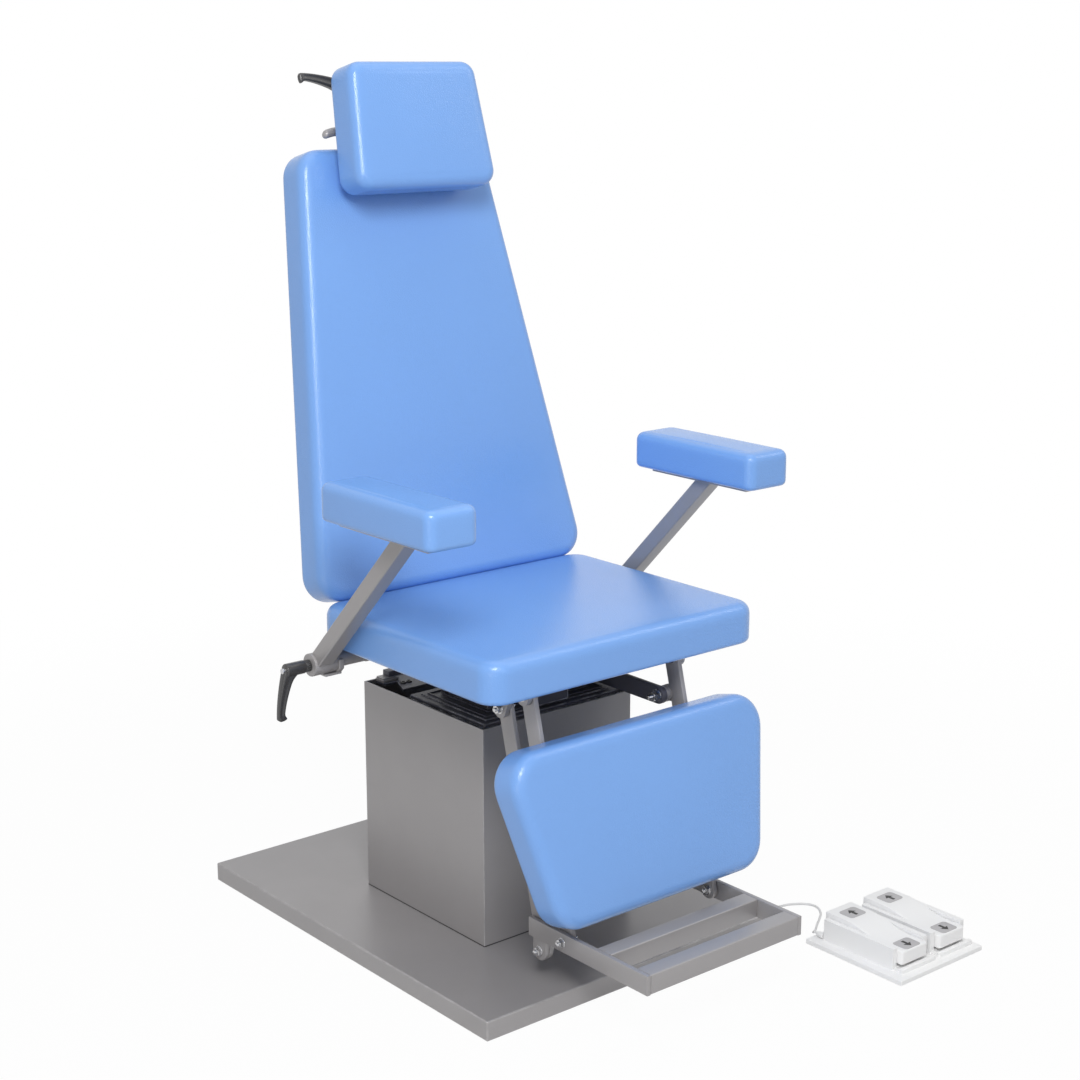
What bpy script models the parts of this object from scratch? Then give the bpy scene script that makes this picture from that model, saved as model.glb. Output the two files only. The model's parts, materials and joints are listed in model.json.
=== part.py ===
"""Powered examination chair for ear, nose and throat work, in metres, +Z up.

The chair faces -Y and the sitter's left is +X. The origin is the middle of the base plate's underside.
Side views are written as (y, z) pairs.
"""

import math

import bmesh
import bpy
from mathutils import Matrix, Vector

# Clearances
GAP = 0.0003
PIVOT_FIT = 0.0004
SIDE_PLAY = 0.001
EDGE_BREAK = 0.001
BODY_BEVEL = 0.004
ROUND_STEPS = 8
BOLT_SIDES = 12

# Base plate: a folded pan with ribs below
BASE_WIDTH = 0.600
BASE_DEPTH = 0.750
BASE_HEIGHT = 0.0315
BASE_SKIN = 0.006
BASE_SKIRT = 0.012
BASE_RIB = 0.060
BASE_BEVEL = 0.0015

# Column casing, open at the top
CASING_WIDTH = 0.302
CASING_DEPTH = 0.314
CASING_MIDDLE_Y = -0.023
CASING_HEIGHT = 0.3562
CASING_WALL = 0.003

# Telescoping covers of the lift
COVER_CLEARANCE = 0.004
COVER_WALL = 0.002
COVER_LENGTH = 0.232
COVER_REAR_Y = 0.030
COVER_BELOW_RIM = 0.004
GLIDE_DEPTH = 0.100
GLIDE_HEIGHT = 0.020

# Lift actuator
LIFT_Y = -0.055
LIFT_TUBE_RADIUS = 0.028
LIFT_TUBE_LENGTH = 0.300
LIFT_RAM_RADIUS = 0.020
LIFT_RAM_LENGTH = 0.290
LIFT_BORE_CLEARANCE = 0.001
LIFT_MOTOR_SIZE = (0.085, 0.080, 0.095)

# Pedestal that carries the seat
PEDESTAL_PLATE = 0.006
PEDESTAL_STEP = 0.002
PEDESTAL_STEP_INSET = 0.012
CHEEK_SPACING = 0.170
CHEEK_THICKNESS = 0.008
CHEEK_DEPTH = 0.120
CHEEK_FRONT_Y = -0.118

# Bracket and switch in the casing's mouth
MOUTH_BRACKET_INSET = 0.018
MOUTH_BRACKET_WIDTH = 0.0663
MOUTH_BRACKET_DEPTH = 0.068
MOUTH_BRACKET_THICKNESS = 0.004
MOUTH_TAB_WIDTH = 0.024
MOUTH_TAB_DEPTH = 0.026
MOUTH_FLARE = 0.018
MOUTH_HOLE_RADIUS = 0.004
MOUTH_HOLE_INSET = 0.026
MOUTH_HOLE_SPACING = 0.011
MOUTH_HOLE_AHEAD = 0.041
SWITCH_SIZE = (0.025, 0.017, 0.0137)
SWITCH_INSET = 0.0063

# Cushions
EDGE_FRONT = 0.018
EDGE_REAR = 0.010
CROWN = 0.004
PULL = 0.002

# Seat
SEAT_WIDTH = 0.537
SEAT_DEPTH = 0.437
SEAT_THICKNESS = 0.064
SEAT_FRONT_Y = -0.349
SEAT_ABOVE_CASING = 0.099
SEAT_CORNER = 0.036
BOARD_WIDTH = 0.450
BOARD_THICKNESS = 0.012
BOARD_SETBACK = 0.004
BOARD_REAR_SETBACK = 0.016
BOARD_BEVEL = 0.002

# Hinge line of the backrest and the arms
HINGE_SETBACK = 0.048
HINGE_BELOW_SEAT = 0.0165
CROSS_TUBE_RADIUS = 0.010
CROSS_TUBE_BORE = 0.0056
CROSS_TUBE_HALF = 0.2737
END_BLOCK_WIDTH = 0.015
END_BLOCK_HALF = 0.019
END_BLOCK_ABOVE = 0.0145
END_BLOCK_BELOW = 0.0205
END_BLOCK_CHAMFER = 0.009
SLEEVE_RADIUS = 0.0128
TUBE_BRACKET_X = 0.206
TUBE_BRACKET_THICKNESS = 0.008
TUBE_BRACKET_RADIUS = 0.0135
TUBE_BRACKET_REACH = 0.075
TUBE_BRACKET_HEIGHT = 0.018

# Backrest
BACK_LEAN = math.radians(13.57)
BACK_FOOT_BEHIND = 0.0227
BACK_FOOT_ABOVE = 0.0045
BACK_LENGTH = 0.705
BACK_HALF_BOTTOM = 0.273
BACK_HALF_TOP = 0.182
BACK_THICKNESS = 0.065
BACK_CORNER = 0.043
UPRIGHT_X = 0.1535
UPRIGHT_THICKNESS = 0.008
UPRIGHT_WIDTH = 0.026
UPRIGHT_BELOW_TOP = 0.105
UPRIGHT_KNEE = -0.075
CROSSBAR_THICKNESS = 0.006
CROSSBAR_HEIGHT = 0.040
CROSSBAR_LOWER = 0.150
CROSSBAR_SPACING = 0.075

# Recline drive: a straight rod whose pin runs in a slotted crank
RECLINE_ANGLE = math.radians(65.0)
DRIVE_DROP = 0.052
DRIVE_PIN_RADIUS = 0.004
DRIVE_SLOT_PLAY = 0.002
DRIVE_CRANK_THICKNESS = 0.008
DRIVE_CRANK_RADIUS = 0.0135
DRIVE_ROD_RADIUS = 0.008
DRIVE_FORK_DEPTH = 0.030
DRIVE_FORK_PLAY = 0.0025
DRIVE_TINE = 0.006
DRIVE_FORK_ROOT = 0.010
DRIVE_FORK_HALF = 0.010
DRIVE_SLOT_NEAR = 0.050
DRIVE_SLOT_FAR = 0.0640
DRIVE_BODY_WIDTH = 0.070
DRIVE_BODY_AHEAD = 0.082
DRIVE_BODY_LENGTH = 0.123
DRIVE_ROD_INSIDE = 0.025
DRIVE_BODY_HEIGHT = 0.054
DRIVE_BORE_DEPTH = 0.104

# Legrest and footrest linkage
LEG_LEAN = math.radians(14.3)
PIVOT_BEHIND_FRONT = 0.0668
PIVOT_BELOW_SEAT = 0.0185
LINK_SPREAD_Y = 0.0532
LINK_SPREAD_Z = 0.0325
LINK_LENGTH = 0.3685
LINK_WIDTH = 0.030
LINK_THICKNESS = 0.008
LINK_OUTER_X = 0.149
EAR_THICKNESS = 0.008
EAR_RADIUS = 0.0145
BOLT_RADIUS = 0.004
BOLT_HEAD_RADIUS = 0.0075
BOLT_HEAD = 0.0065

# Coupling bar between the backrest crank and the legrest
LUG_ALONG = 0.0552
LUG_BEHIND = 0.0223
LUG_RADIUS = 0.0135
LUG_THICKNESS = 0.008
LUG_STANDOFF = 0.0013
LUG_WELD_RADIUS = 0.012
COUPLING_THICKNESS = 0.010
COUPLING_WIDTH = 0.028
COUPLING_NUT = 0.010
COUPLING_PLAY = 0.0008

# Legrest cushion
LEGREST_DROP = 0.069
LEGREST_LENGTH = 0.272
LEGREST_HALF_TOP = 0.263
LEGREST_HALF_BOTTOM = 0.203
LEGREST_THICKNESS = 0.061
LEGREST_CORNER = 0.050
LEG_CROSSBAR_UPPER = 0.130
LEG_CROSSBAR_LOWER = 0.270
LEG_CROSSBAR_HEIGHT = 0.024
LEG_CROSSBAR_DEPTH = 0.020

# Footrest
FOOT_REACH = 0.1838
FOOT_REAR_PAST = 0.024
FOOT_HEIGHT = 0.030
FOOT_TUBE = 0.030
FOOT_MIDDLE_REACH = 0.0845
FOOT_TUBE_WALL = 0.002
FOOT_EAR_FLARE = 0.010

# Arms
ARM_LEAN = math.radians(44.4)
ARM_HUB_RADIUS = 0.018
ARM_HUB_INNER_X = 0.274
ARM_HUB_OUTER_X = 0.316
ARM_TUBE_INNER_X = 0.283
ARM_TUBE_WIDTH = 0.029
ARM_TUBE_DEPTH = 0.0255
ARM_PLATE_THICKNESS = 0.005
ARM_PLATE_WIDTH = 0.058
ARM_PLATE_LENGTH = 0.215
ARM_PLATE_SETBACK = 0.025
ARM_PAD_INNER_X = 0.2645
ARM_PAD_WIDTH = 0.0905
ARM_PAD_AHEAD = 0.365
ARM_PAD_LENGTH = 0.272
ARM_PAD_ABOVE = 0.170
ARM_PAD_THICKNESS = 0.061
ARM_PAD_CORNER = 0.016
ARM_PAD_EDGE = 0.013

# Clamp levers
LEVER_COLLAR_RADIUS = 0.0105
LEVER_COLLAR = 0.006
LEVER_HUB_RADIUS = 0.0085
LEVER_HUB = 0.043
LEVER_ARM = 0.080
LEVER_ROOT_OUT = 0.031
LEVER_LEAN = 0.0145
LEVER_STUD_RADIUS = 0.005
LEVER_STUD = 0.062
LEVER_TIP = 0.003
LEVER_ROOT_HALF = 0.0078
LEVER_TIP_HALF = 0.0044
LEVER_ROOT_DEPTH = 0.0110
LEVER_TIP_DEPTH = 0.0055

# Headrest
HEAD_LEAN = math.radians(12.9)
HEAD_OVERLAP = 0.084
HEAD_FORWARD = 0.0822
HEAD_LENGTH = 0.202
HEAD_HALF_BOTTOM = 0.138
HEAD_HALF_TOP = 0.123
HEAD_THICKNESS = 0.066
HEAD_CORNER = 0.025
HEAD_EDGE = 0.016
ROD_HEIGHT = 0.108
ROD_BEHIND = 0.023
ROD_RADIUS = 0.007
ROD_HALF = 0.125
BACK_PLATE_WIDTH = 0.190
BACK_PLATE_HEIGHT = 0.096
BACK_PLATE_THICKNESS = 0.004
CLAMP_X = 0.075
CLAMP_WIDTH = 0.028
CLAMP_BELOW = 0.0125
CLAMP_ABOVE = 0.035
CLAMP_DEPTH = 0.041
CLAMP_SLIT = 0.002
CLAMP_SCREW_BEHIND = 0.0155
HEAD_STUD = 0.042
POST_WIDTH = 0.030
POST_DEPTH = 0.012
POST_ARM_RADIUS = 0.014
POST_BELOW_GUIDE = 0.085
GUIDE_WALL = 0.006

# Foot pedal
PEDAL_SIDE = 0.1965
PEDAL_LEFT_X = 0.293
PEDAL_FRONT_Y = -0.642
PEDAL_PLATE = 0.0085
PEDAL_MARGIN = 0.018
HOUSING_WIDTH = 0.081
HOUSING_SPACING = 0.009
HOUSING_REAR_MARGIN = 0.0215
HOUSING_FRONT_MARGIN = 0.033
HOUSING_TOP = 0.044
HOUSING_WALL = 0.0095
LEDGE_FRONT_MARGIN = 0.014
LEDGE_TOP = 0.0125
ROCKER_CLEARANCE = 0.001
ROCKER_REAR_PAST = 0.007
ROCKER_FRONT_PAST = 0.010
ROCKER_REAR_TOP = 0.052
ROCKER_FRONT_TOP = 0.039
ROCKER_REAR_FLAT = 0.040
ROCKER_FRONT_FLAT = 0.034
ROCKER_CURVE_STEPS = 8
ROCKER_UNDERSIDE = 0.018
ROCKER_PIVOT_Z = 0.027
ROCKER_PIN_RADIUS = 0.004
ROCKER_PIN_SEAT = 0.007
ROCKER_HOLE_SKIN = 0.002
ROCKER_ROUND = 0.004

# Pedal cord: a short lead on the floor from the pedal to the base
CORD_RADIUS = 0.00225
RELIEF_REAR_Y = -0.4490
RELIEF_LENGTH = 0.0155
RELIEF_RADIUS = 0.0048
GLAND_Y = -0.322
GLAND_Z = 0.014
GLAND_RADIUS = 0.0065
GLAND_LENGTH = 0.012
CORD_FLOOR = 0.0025
CORD_ROUTE = (
    (0.3140, RELIEF_REAR_Y + GAP, PEDAL_PLATE + GAP + RELIEF_RADIUS),
    (0.3142, -0.4440, 0.01300),
    (0.3175, -0.4335, 0.00800),
    (0.3270, -0.4215, CORD_FLOOR),
    (0.3470, -0.4085, CORD_FLOOR),
    (0.3740, -0.3930, CORD_FLOOR),
    (0.3960, -0.3720, CORD_FLOOR),
    (0.4030, -0.3515, CORD_FLOOR),
    (0.3940, -0.3360, CORD_FLOOR),
    (0.3730, -0.3270, CORD_FLOOR),
    (0.3500, -0.3232, CORD_FLOOR),
    (0.3330, -0.3222, 0.00500),
    (0.3190, GLAND_Y, 0.01250),
    (BASE_WIDTH / 2 + GLAND_LENGTH + 2 * GAP, GLAND_Y, GLAND_Z),
)
CORD_SPLIT = 3

# Values that follow from the sizes above
CASING_TOP = BASE_HEIGHT + GAP + CASING_HEIGHT
SEAT_UNDERSIDE = CASING_TOP + SEAT_ABOVE_CASING
SEAT_TOP = SEAT_UNDERSIDE + SEAT_THICKNESS
HINGE_Y = SEAT_FRONT_Y + SEAT_DEPTH - HINGE_SETBACK
HINGE_Z = SEAT_UNDERSIDE - HINGE_BELOW_SEAT
FRONT_PIVOT = (SEAT_FRONT_Y + PIVOT_BEHIND_FRONT, SEAT_UNDERSIDE - PIVOT_BELOW_SEAT)
REAR_PIVOT = (FRONT_PIVOT[0] + LINK_SPREAD_Y, FRONT_PIVOT[1] - LINK_SPREAD_Z)
UPRIGHT_TOP = BACK_LENGTH - UPRIGHT_BELOW_TOP
CROSSBAR_UPPER = UPRIGHT_TOP - CROSSBAR_HEIGHT / 2
CROSSBAR_MIDDLE = CROSSBAR_UPPER - CROSSBAR_SPACING
POST_BOTTOM = CROSSBAR_MIDDLE - CROSSBAR_HEIGHT / 2 - POST_BELOW_GUIDE
ARM_PAD_FRONT_Y = HINGE_Y - ARM_PAD_AHEAD
ARM_PAD_LOW = SEAT_TOP + ARM_PAD_ABOVE
DRIVE_BODY_REAR_Y = HINGE_Y - DRIVE_BODY_AHEAD
HOUSING_X = (PEDAL_LEFT_X + PEDAL_MARGIN, PEDAL_LEFT_X + PEDAL_MARGIN + HOUSING_WIDTH + HOUSING_SPACING)
HOUSING_REAR_Y = PEDAL_FRONT_Y + PEDAL_SIDE - HOUSING_REAR_MARGIN
HOUSING_FRONT_Y = PEDAL_FRONT_Y + HOUSING_FRONT_MARGIN
LEDGE_FRONT_Y = PEDAL_FRONT_Y + LEDGE_FRONT_MARGIN
ROCKER_REAR_Y = HOUSING_REAR_Y + ROCKER_REAR_PAST
ROCKER_FRONT_Y = HOUSING_FRONT_Y - ROCKER_FRONT_PAST
COVER_TOP = CASING_TOP - COVER_BELOW_RIM
PEDESTAL_LOW = COVER_TOP + GAP
PEDESTAL_TOP = PEDESTAL_LOW + PEDESTAL_PLATE
BOARD_LOW = SEAT_UNDERSIDE - GAP - BOARD_THICKNESS
BOARD_FRONT_Y = FRONT_PIVOT[0] + EAR_RADIUS + BOARD_SETBACK
BOARD_REAR_Y = HINGE_Y - SLEEVE_RADIUS - BOARD_REAR_SETBACK
LINK_INNER_X = LINK_OUTER_X - LINK_THICKNESS
EAR_INNER_X = LINK_OUTER_X + SIDE_PLAY
EAR_OUTER_X = EAR_INNER_X + EAR_THICKNESS
LUG_OUTER_X = LINK_INNER_X - LUG_STANDOFF
LUG_INNER_X = LUG_OUTER_X - LUG_THICKNESS
COUPLING_OUTER_X = LUG_INNER_X - SIDE_PLAY
COUPLING_INNER_X = COUPLING_OUTER_X - COUPLING_THICKNESS
DRIVE_PIN_REST_Y = HINGE_Y + DRIVE_DROP * math.tan(RECLINE_ANGLE / 2)
DRIVE_Z = HINGE_Z - DRIVE_DROP
GUIDE_BEHIND = BACK_THICKNESS + GAP + CROSSBAR_THICKNESS - SIDE_PLAY
POST_BEHIND = GUIDE_BEHIND + GUIDE_WALL + PIVOT_FIT + POST_DEPTH / 2


class Pivot:
    """An empty on a joint's axis, which the pieces of one moving body are parented to."""

    def __init__(self, name, place, parent=None):
        self.place = Vector(place)
        self.empty = bpy.data.objects.new(name, None)
        self.empty.empty_display_size = 0.03
        bpy.context.scene.collection.objects.link(self.empty)
        self.empty.location = self.place
        if parent:
            self.empty.parent = parent.empty
            self.empty.location = self.place - parent.place


class SideFrame:
    """A leaning piece's side view: up runs along the piece, rear runs out of its back."""

    def __init__(self, foot_y, foot_z, lean):
        self.foot = Vector((foot_y, foot_z))
        self.up = Vector((math.sin(lean), math.cos(lean)))
        self.rear = Vector((math.cos(lean), -math.sin(lean)))

    def at(self, along, behind):
        """The (y, z) point this far up the piece and this far behind its front face's plane."""
        return self.foot + self.up * along + self.rear * behind

    def place_of(self, point):
        """The (along, behind) place of a (y, z) point."""
        offset = Vector(point) - self.foot
        return offset.dot(self.up), offset.dot(self.rear)

    def matrix(self, along, behind, x=0.0):
        """A frame with X across, Y up the piece and Z out of its front."""
        y, z = self.at(along, behind)
        across = Vector((1, 0, 0))
        up = Vector((0, *self.up))
        front = across.cross(up)
        turn = Matrix((across, up, front)).transposed().to_4x4()
        return Matrix.Translation((x, y, z)) @ turn


BACK = SideFrame(HINGE_Y + BACK_FOOT_BEHIND, SEAT_TOP + BACK_FOOT_ABOVE, BACK_LEAN)
HEAD = SideFrame(*BACK.at(BACK_LENGTH - HEAD_OVERLAP, -HEAD_FORWARD), HEAD_LEAN)
LEG = SideFrame(*FRONT_PIVOT, LEG_LEAN)


def leg_point(pivot, along):
    """The (y, z) point this far down a leg link from its upper pivot."""
    return Vector(pivot) - LEG.up * along


FRONT_FOOT = leg_point(FRONT_PIVOT, LINK_LENGTH)
REAR_FOOT = leg_point(REAR_PIVOT, LINK_LENGTH)
LUG = LEG.at(-LUG_ALONG, LUG_BEHIND)
CRANK_END = Vector((HINGE_Y, HINGE_Z)) + LUG - Vector(FRONT_PIVOT)
FOOT_LOW = FRONT_FOOT.y - FOOT_HEIGHT / 2
FOOT_FRONT_Y = FRONT_FOOT.x - FOOT_REACH
FOOT_REAR_Y = REAR_FOOT.x + FOOT_REAR_PAST
FOOT_MIDDLE_Y = FRONT_FOOT.x - FOOT_MIDDLE_REACH
ROD_PLACE = HEAD.at(ROD_HEIGHT, HEAD_THICKNESS + ROD_BEHIND)


def clear_scene():
    for item in list(bpy.data.objects):
        bpy.data.objects.remove(item, do_unlink=True)


def finish(name, colour, roughness, metallic=0.0):
    """A Principled material of one colour."""
    material = bpy.data.materials.new(name)
    material.use_nodes = True
    shader = material.node_tree.nodes["Principled BSDF"]
    shader.inputs["Base Color"].default_value = (*colour, 1.0)
    shader.inputs["Roughness"].default_value = roughness
    shader.inputs["Metallic"].default_value = metallic
    return material


def make_finishes():
    return {
        "vinyl": finish("blue_vinyl", (0.20, 0.39, 0.79), 0.42),
        "paint": finish("grey_paint", (0.29, 0.28, 0.28), 0.45, 0.3),
        "black": finish("black_paint", (0.02, 0.02, 0.025), 0.4),
        "lever": finish("black_plastic", (0.03, 0.03, 0.03), 0.5),
        "zinc": finish("zinc_plate", (0.62, 0.62, 0.60), 0.3, 1.0),
        "white": finish("white_plastic", (0.86, 0.86, 0.86), 0.4),
        "cord": finish("pale_cord", (0.75, 0.75, 0.75), 0.5),
    }


def loft(shape, rings, closed=False):
    """Joins rings of equal length with faces; capped at both ends, or closed round into a tube."""
    loops = [[shape.verts.new(point) for point in ring] for ring in rings]
    pairs = list(zip(loops, loops[1:]))
    if closed:
        pairs.append((loops[-1], loops[0]))
    else:
        shape.faces.new(reversed(loops[0]))
        shape.faces.new(loops[-1])
    for low, high in pairs:
        for index in range(len(low)):
            shape.faces.new((low[index - 1], low[index], high[index], high[index - 1]))
    return shape


def prism(outline, low_x, high_x):
    """A flat plate: a (y, z) outline between two planes of X."""
    shape = bmesh.new()
    return loft(shape, [[Vector((x, y, z)) for y, z in outline] for x in (low_x, high_x)])


def rectangle(low, high):
    return [(low[0], low[1]), (high[0], low[1]), (high[0], high[1]), (low[0], high[1])]


def block(low, high, bevel=0.0):
    """A box between two corners, with its edges broken by a bevel."""
    shape = bmesh.new()
    outline = rectangle(low, high)
    loft(shape, [[Vector((x, y, z)) for x, y in outline] for z in (low[2], high[2])])
    if bevel:
        bmesh.ops.bevel(shape, geom=shape.edges[:], offset=bevel, segments=1, affect="EDGES")
    return shape


def box_tube(frame, low, high, wall, bottom, top):
    """A rectangular tube along the frame's Z, open at both ends."""
    inner_low = (low[0] + wall, low[1] + wall)
    inner_high = (high[0] - wall, high[1] - wall)
    outer = rectangle(low, high)
    inner = rectangle(inner_low, inner_high)
    rings = ((outer, bottom), (outer, top), (inner, top), (inner, bottom))
    shape = bmesh.new()
    return loft(shape, [[frame @ Vector((x, y, z)) for x, y in ring] for ring, z in rings], True)


def axis_frame(place, direction):
    """A frame at a place whose Z runs along a direction."""
    return Matrix.Translation(place) @ Vector(direction).to_track_quat("Z", "Y").to_matrix().to_4x4()


def turned(frame, profile, sides=16, closed=False):
    """A solid of revolution about the frame's Z, from (height, radius) pairs; closed gives it a bore."""
    angles = [2 * math.pi * step / sides for step in range(sides)]
    shape = bmesh.new()
    rings = []
    for height, radius in profile:
        circle = [(radius * math.cos(a), radius * math.sin(a)) for a in angles]
        rings.append([frame @ Vector((x, y, height)) for x, y in circle])
    return loft(shape, rings, closed)


def rod_x(centre, low_x, high_x, radius, sides=16):
    """A round bar along X at a (y, z) centre."""
    frame = axis_frame((low_x, *centre), (1, 0, 0))
    return turned(frame, ((0.0, radius), (high_x - low_x, radius)), sides)


def bar_outline(start, end, half_width):
    """A round-ended bar between two (y, z) points."""
    return bent_bar_outline((start, end), half_width, True)


def bent_bar_outline(path, half_width, round_start):
    """A bar of one width along a path of (y, z) points, mitred at its bends and round at its end."""
    path = [Vector(point) for point in path]
    runs = [(b - a).normalized() for a, b in zip(path, path[1:])]
    left, right = [], []
    for index, point in enumerate(path):
        before = runs[max(index - 1, 0)]
        after = runs[min(index, len(runs) - 1)]
        across = (before + after).normalized()
        across = Vector((-across.y, across.x))
        stretch = half_width / across.dot(Vector((-after.y, after.x)))
        left.append(point + across * stretch)
        right.append(point - across * stretch)
    outline = left[:-1] + half_round(path[-1], runs[-1], half_width) + right[:-1][::-1]
    if round_start:
        outline = half_round(path[0], -runs[0], half_width) + outline[1:-1]
    return outline


def half_round(centre, direction, radius):
    """Half a circle that closes a bar's end, from its left side round to its right side."""
    across = Vector((-direction.y, direction.x))
    turns = [math.pi * step / ROUND_STEPS for step in range(ROUND_STEPS + 1)]
    return [centre + across * radius * math.cos(t) + direction * radius * math.sin(t) for t in turns]


def piece(name, shape, material, pivot):
    """A named object from a shape built in world coordinates, with its origin on its pivot."""
    bmesh.ops.recalc_face_normals(shape, faces=shape.faces)
    mesh = bpy.data.meshes.new(name)
    shape.to_mesh(mesh)
    shape.free()
    mesh.transform(Matrix.Translation(-pivot.place))
    mesh.materials.append(material)
    item = bpy.data.objects.new(name, mesh)
    bpy.context.scene.collection.objects.link(item)
    item.parent = pivot.empty
    shade(item)
    return item


def shade(item):
    item.data.shade_smooth()
    item.data.set_sharp_from_angle(angle=math.radians(35))


def combine(item, shape, operation, pivot):
    """Joins a shape to a piece, or cuts it away, and keeps the result as the piece's mesh."""
    other = piece("tool", shape, item.data.materials[0], pivot)
    modifier = item.modifiers.new("combine", "BOOLEAN")
    modifier.operation = operation
    modifier.solver = "EXACT"
    modifier.object = other
    graph = bpy.context.evaluated_depsgraph_get()
    result = bpy.data.meshes.new_from_object(item.evaluated_get(graph))
    item.modifiers.clear()
    item.data = result
    item.data.name = item.name
    bpy.data.objects.remove(other, do_unlink=True)
    shade(item)


def fuse(item, shape, pivot):
    combine(item, shape, "UNION", pivot)


def cut(item, shape, pivot):
    combine(item, shape, "DIFFERENCE", pivot)


def drill(item, centre, radius, pivot, x):
    """A hole along X at a (y, z) centre, through a piece that lies between two planes of X."""
    cut(item, rod_x(centre, x[0] - SIDE_PLAY, x[1] + SIDE_PLAY, radius), pivot)


def sided(name, side):
    return f"{name}_{'right' if side < 0 else 'left'}"


def spread(side, inner, outer):
    """A pair of X planes on one side of the chair, lowest first."""
    return sorted((side * inner, side * outer))


def corner_arc(before, corner, after, radius, steps):
    """Points that round one corner of an outline."""
    to_before = (before - corner).normalized()
    to_after = (after - corner).normalized()
    half = to_before.angle(to_after) / 2
    reach = radius / math.tan(half)
    centre = corner + (to_before + to_after).normalized() * radius / math.sin(half)
    start = corner + to_before * reach - centre
    end = corner + to_after * reach - centre
    sweep = start.angle_signed(end)
    first = math.atan2(start.y, start.x)
    turns = [first - sweep * step / steps for step in range(steps + 1)]
    return [centre + Vector((math.cos(t), math.sin(t))) * radius for t in turns]


def pad_outline(half_bottom, half_top, length, corner, inset, pull):
    """A pad's plan, drawn in evenly by an inset, with rounded corners and sides that pull in."""
    slope = (half_top - half_bottom) / length
    sink = inset * math.hypot(1, slope)
    low = half_bottom + slope * inset - sink
    high = half_bottom + slope * (length - inset) - sink
    corners = [Vector(point) for point in ((low, inset), (high, length - inset))]
    corners += [Vector((-high, length - inset)), Vector((-low, inset))]
    radius = max(corner - inset, corner / 3)
    arcs = []
    for index, point in enumerate(corners):
        arcs.append(corner_arc(corners[index - 1], point, corners[(index + 1) % 4], radius, 5))
    outline = []
    for index, arc in enumerate(arcs):
        start = arc[-1]
        end = arcs[(index + 1) % 4][0]
        run = (end - start).normalized()
        inward = Vector((-run.y, run.x))
        outline += arc
        for share in (0.25, 0.5, 0.75):
            outline.append(start.lerp(end, share) + inward * pull * math.sin(math.pi * share))
    return outline


def cushion(frame, half_bottom, half_top, length, thickness, corner, edge=EDGE_FRONT):
    """A crowned pad on the frame's X-Y plane, with rounded edges and drawn-in sides."""
    shoulder = thickness - CROWN
    quarter = [math.pi / 2 * step / 3 for step in range(4)]
    levels = [(EDGE_REAR * (1 - math.sin(t)), EDGE_REAR * (1 - math.cos(t))) for t in quarter]
    levels += [(edge * (1 - math.cos(t)), shoulder - edge * (1 - math.sin(t))) for t in quarter]
    reach = min(half_bottom, half_top, length / 2) - edge
    for share in (0.25, 0.55, 0.85):
        levels.append((edge + share * reach, shoulder + CROWN * (1 - (1 - share) ** 2)))
    shape = bmesh.new()
    rings = []
    for inset, height in levels:
        outline = pad_outline(half_bottom, half_top, length, corner, inset, PULL)
        rings.append([frame @ Vector((x, y, height)) for x, y in outline])
    return loft(shape, rings)


def base_plate(finishes, root):
    low = (-BASE_WIDTH / 2, -BASE_DEPTH / 2, 0.0)
    high = (BASE_WIDTH / 2, BASE_DEPTH / 2, BASE_HEIGHT)
    plate = piece("base_plate", block(low, high, BASE_BEVEL), finishes["paint"], root)
    for side in (-1, 1):
        for end in (-1, 1):
            x = spread(side, BASE_RIB / 2, BASE_WIDTH / 2 - BASE_SKIRT)
            y = spread(end, BASE_RIB / 2, BASE_DEPTH / 2 - BASE_SKIRT)
            pocket = block((x[0], y[0], -BASE_SKIN), (x[1], y[1], BASE_HEIGHT - BASE_SKIN))
            cut(plate, pocket, root)


def casing_plan(inset):
    """The casing's plan rectangle, drawn in by an inset."""
    half_width = CASING_WIDTH / 2 - inset
    half_depth = CASING_DEPTH / 2 - inset
    low = (-half_width, CASING_MIDDLE_Y - half_depth)
    high = (half_width, CASING_MIDDLE_Y + half_depth)
    return low, high


def column_casing(finishes, root):
    low, high = casing_plan(0.0)
    shape = box_tube(Matrix(), low, high, CASING_WALL, BASE_HEIGHT + GAP, CASING_TOP)
    piece("column_casing", shape, finishes["paint"], root)


def cover_plan(stage):
    """A lift cover's plan: each stage nests inside the one before, and ends short of the casing's rear."""
    inset = CASING_WALL + COVER_CLEARANCE + stage * (COVER_WALL + COVER_CLEARANCE)
    low, high = casing_plan(inset)
    rear = COVER_REAR_Y - stage * (COVER_WALL + COVER_CLEARANCE)
    return low, (high[0], rear)


def lift_cover(name, stage, finishes, pivot):
    low, high = cover_plan(stage)
    shape = box_tube(Matrix(), low, high, COVER_WALL, COVER_TOP - COVER_LENGTH, COVER_TOP)
    return piece(name, shape, finishes["black"], pivot)


def outer_cover(finishes, pivot):
    """The cover between the casing and the inner cover, with a glide on each side that runs on the casing."""
    cover = lift_cover("lift_cover_outer", 0, finishes, pivot)
    low, high = cover_plan(0)
    middle_y = (low[1] + high[1]) / 2
    bottom = COVER_TOP - COVER_LENGTH + GLIDE_HEIGHT
    for side in (-1, 1):
        x = spread(side, high[0] - COVER_WALL / 2, CASING_WIDTH / 2 - CASING_WALL - GAP)
        glide_low = (x[0], middle_y - GLIDE_DEPTH / 2, bottom)
        glide_high = (x[1], middle_y + GLIDE_DEPTH / 2, bottom + GLIDE_HEIGHT)
        fuse(cover, block(glide_low, glide_high), pivot)


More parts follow.
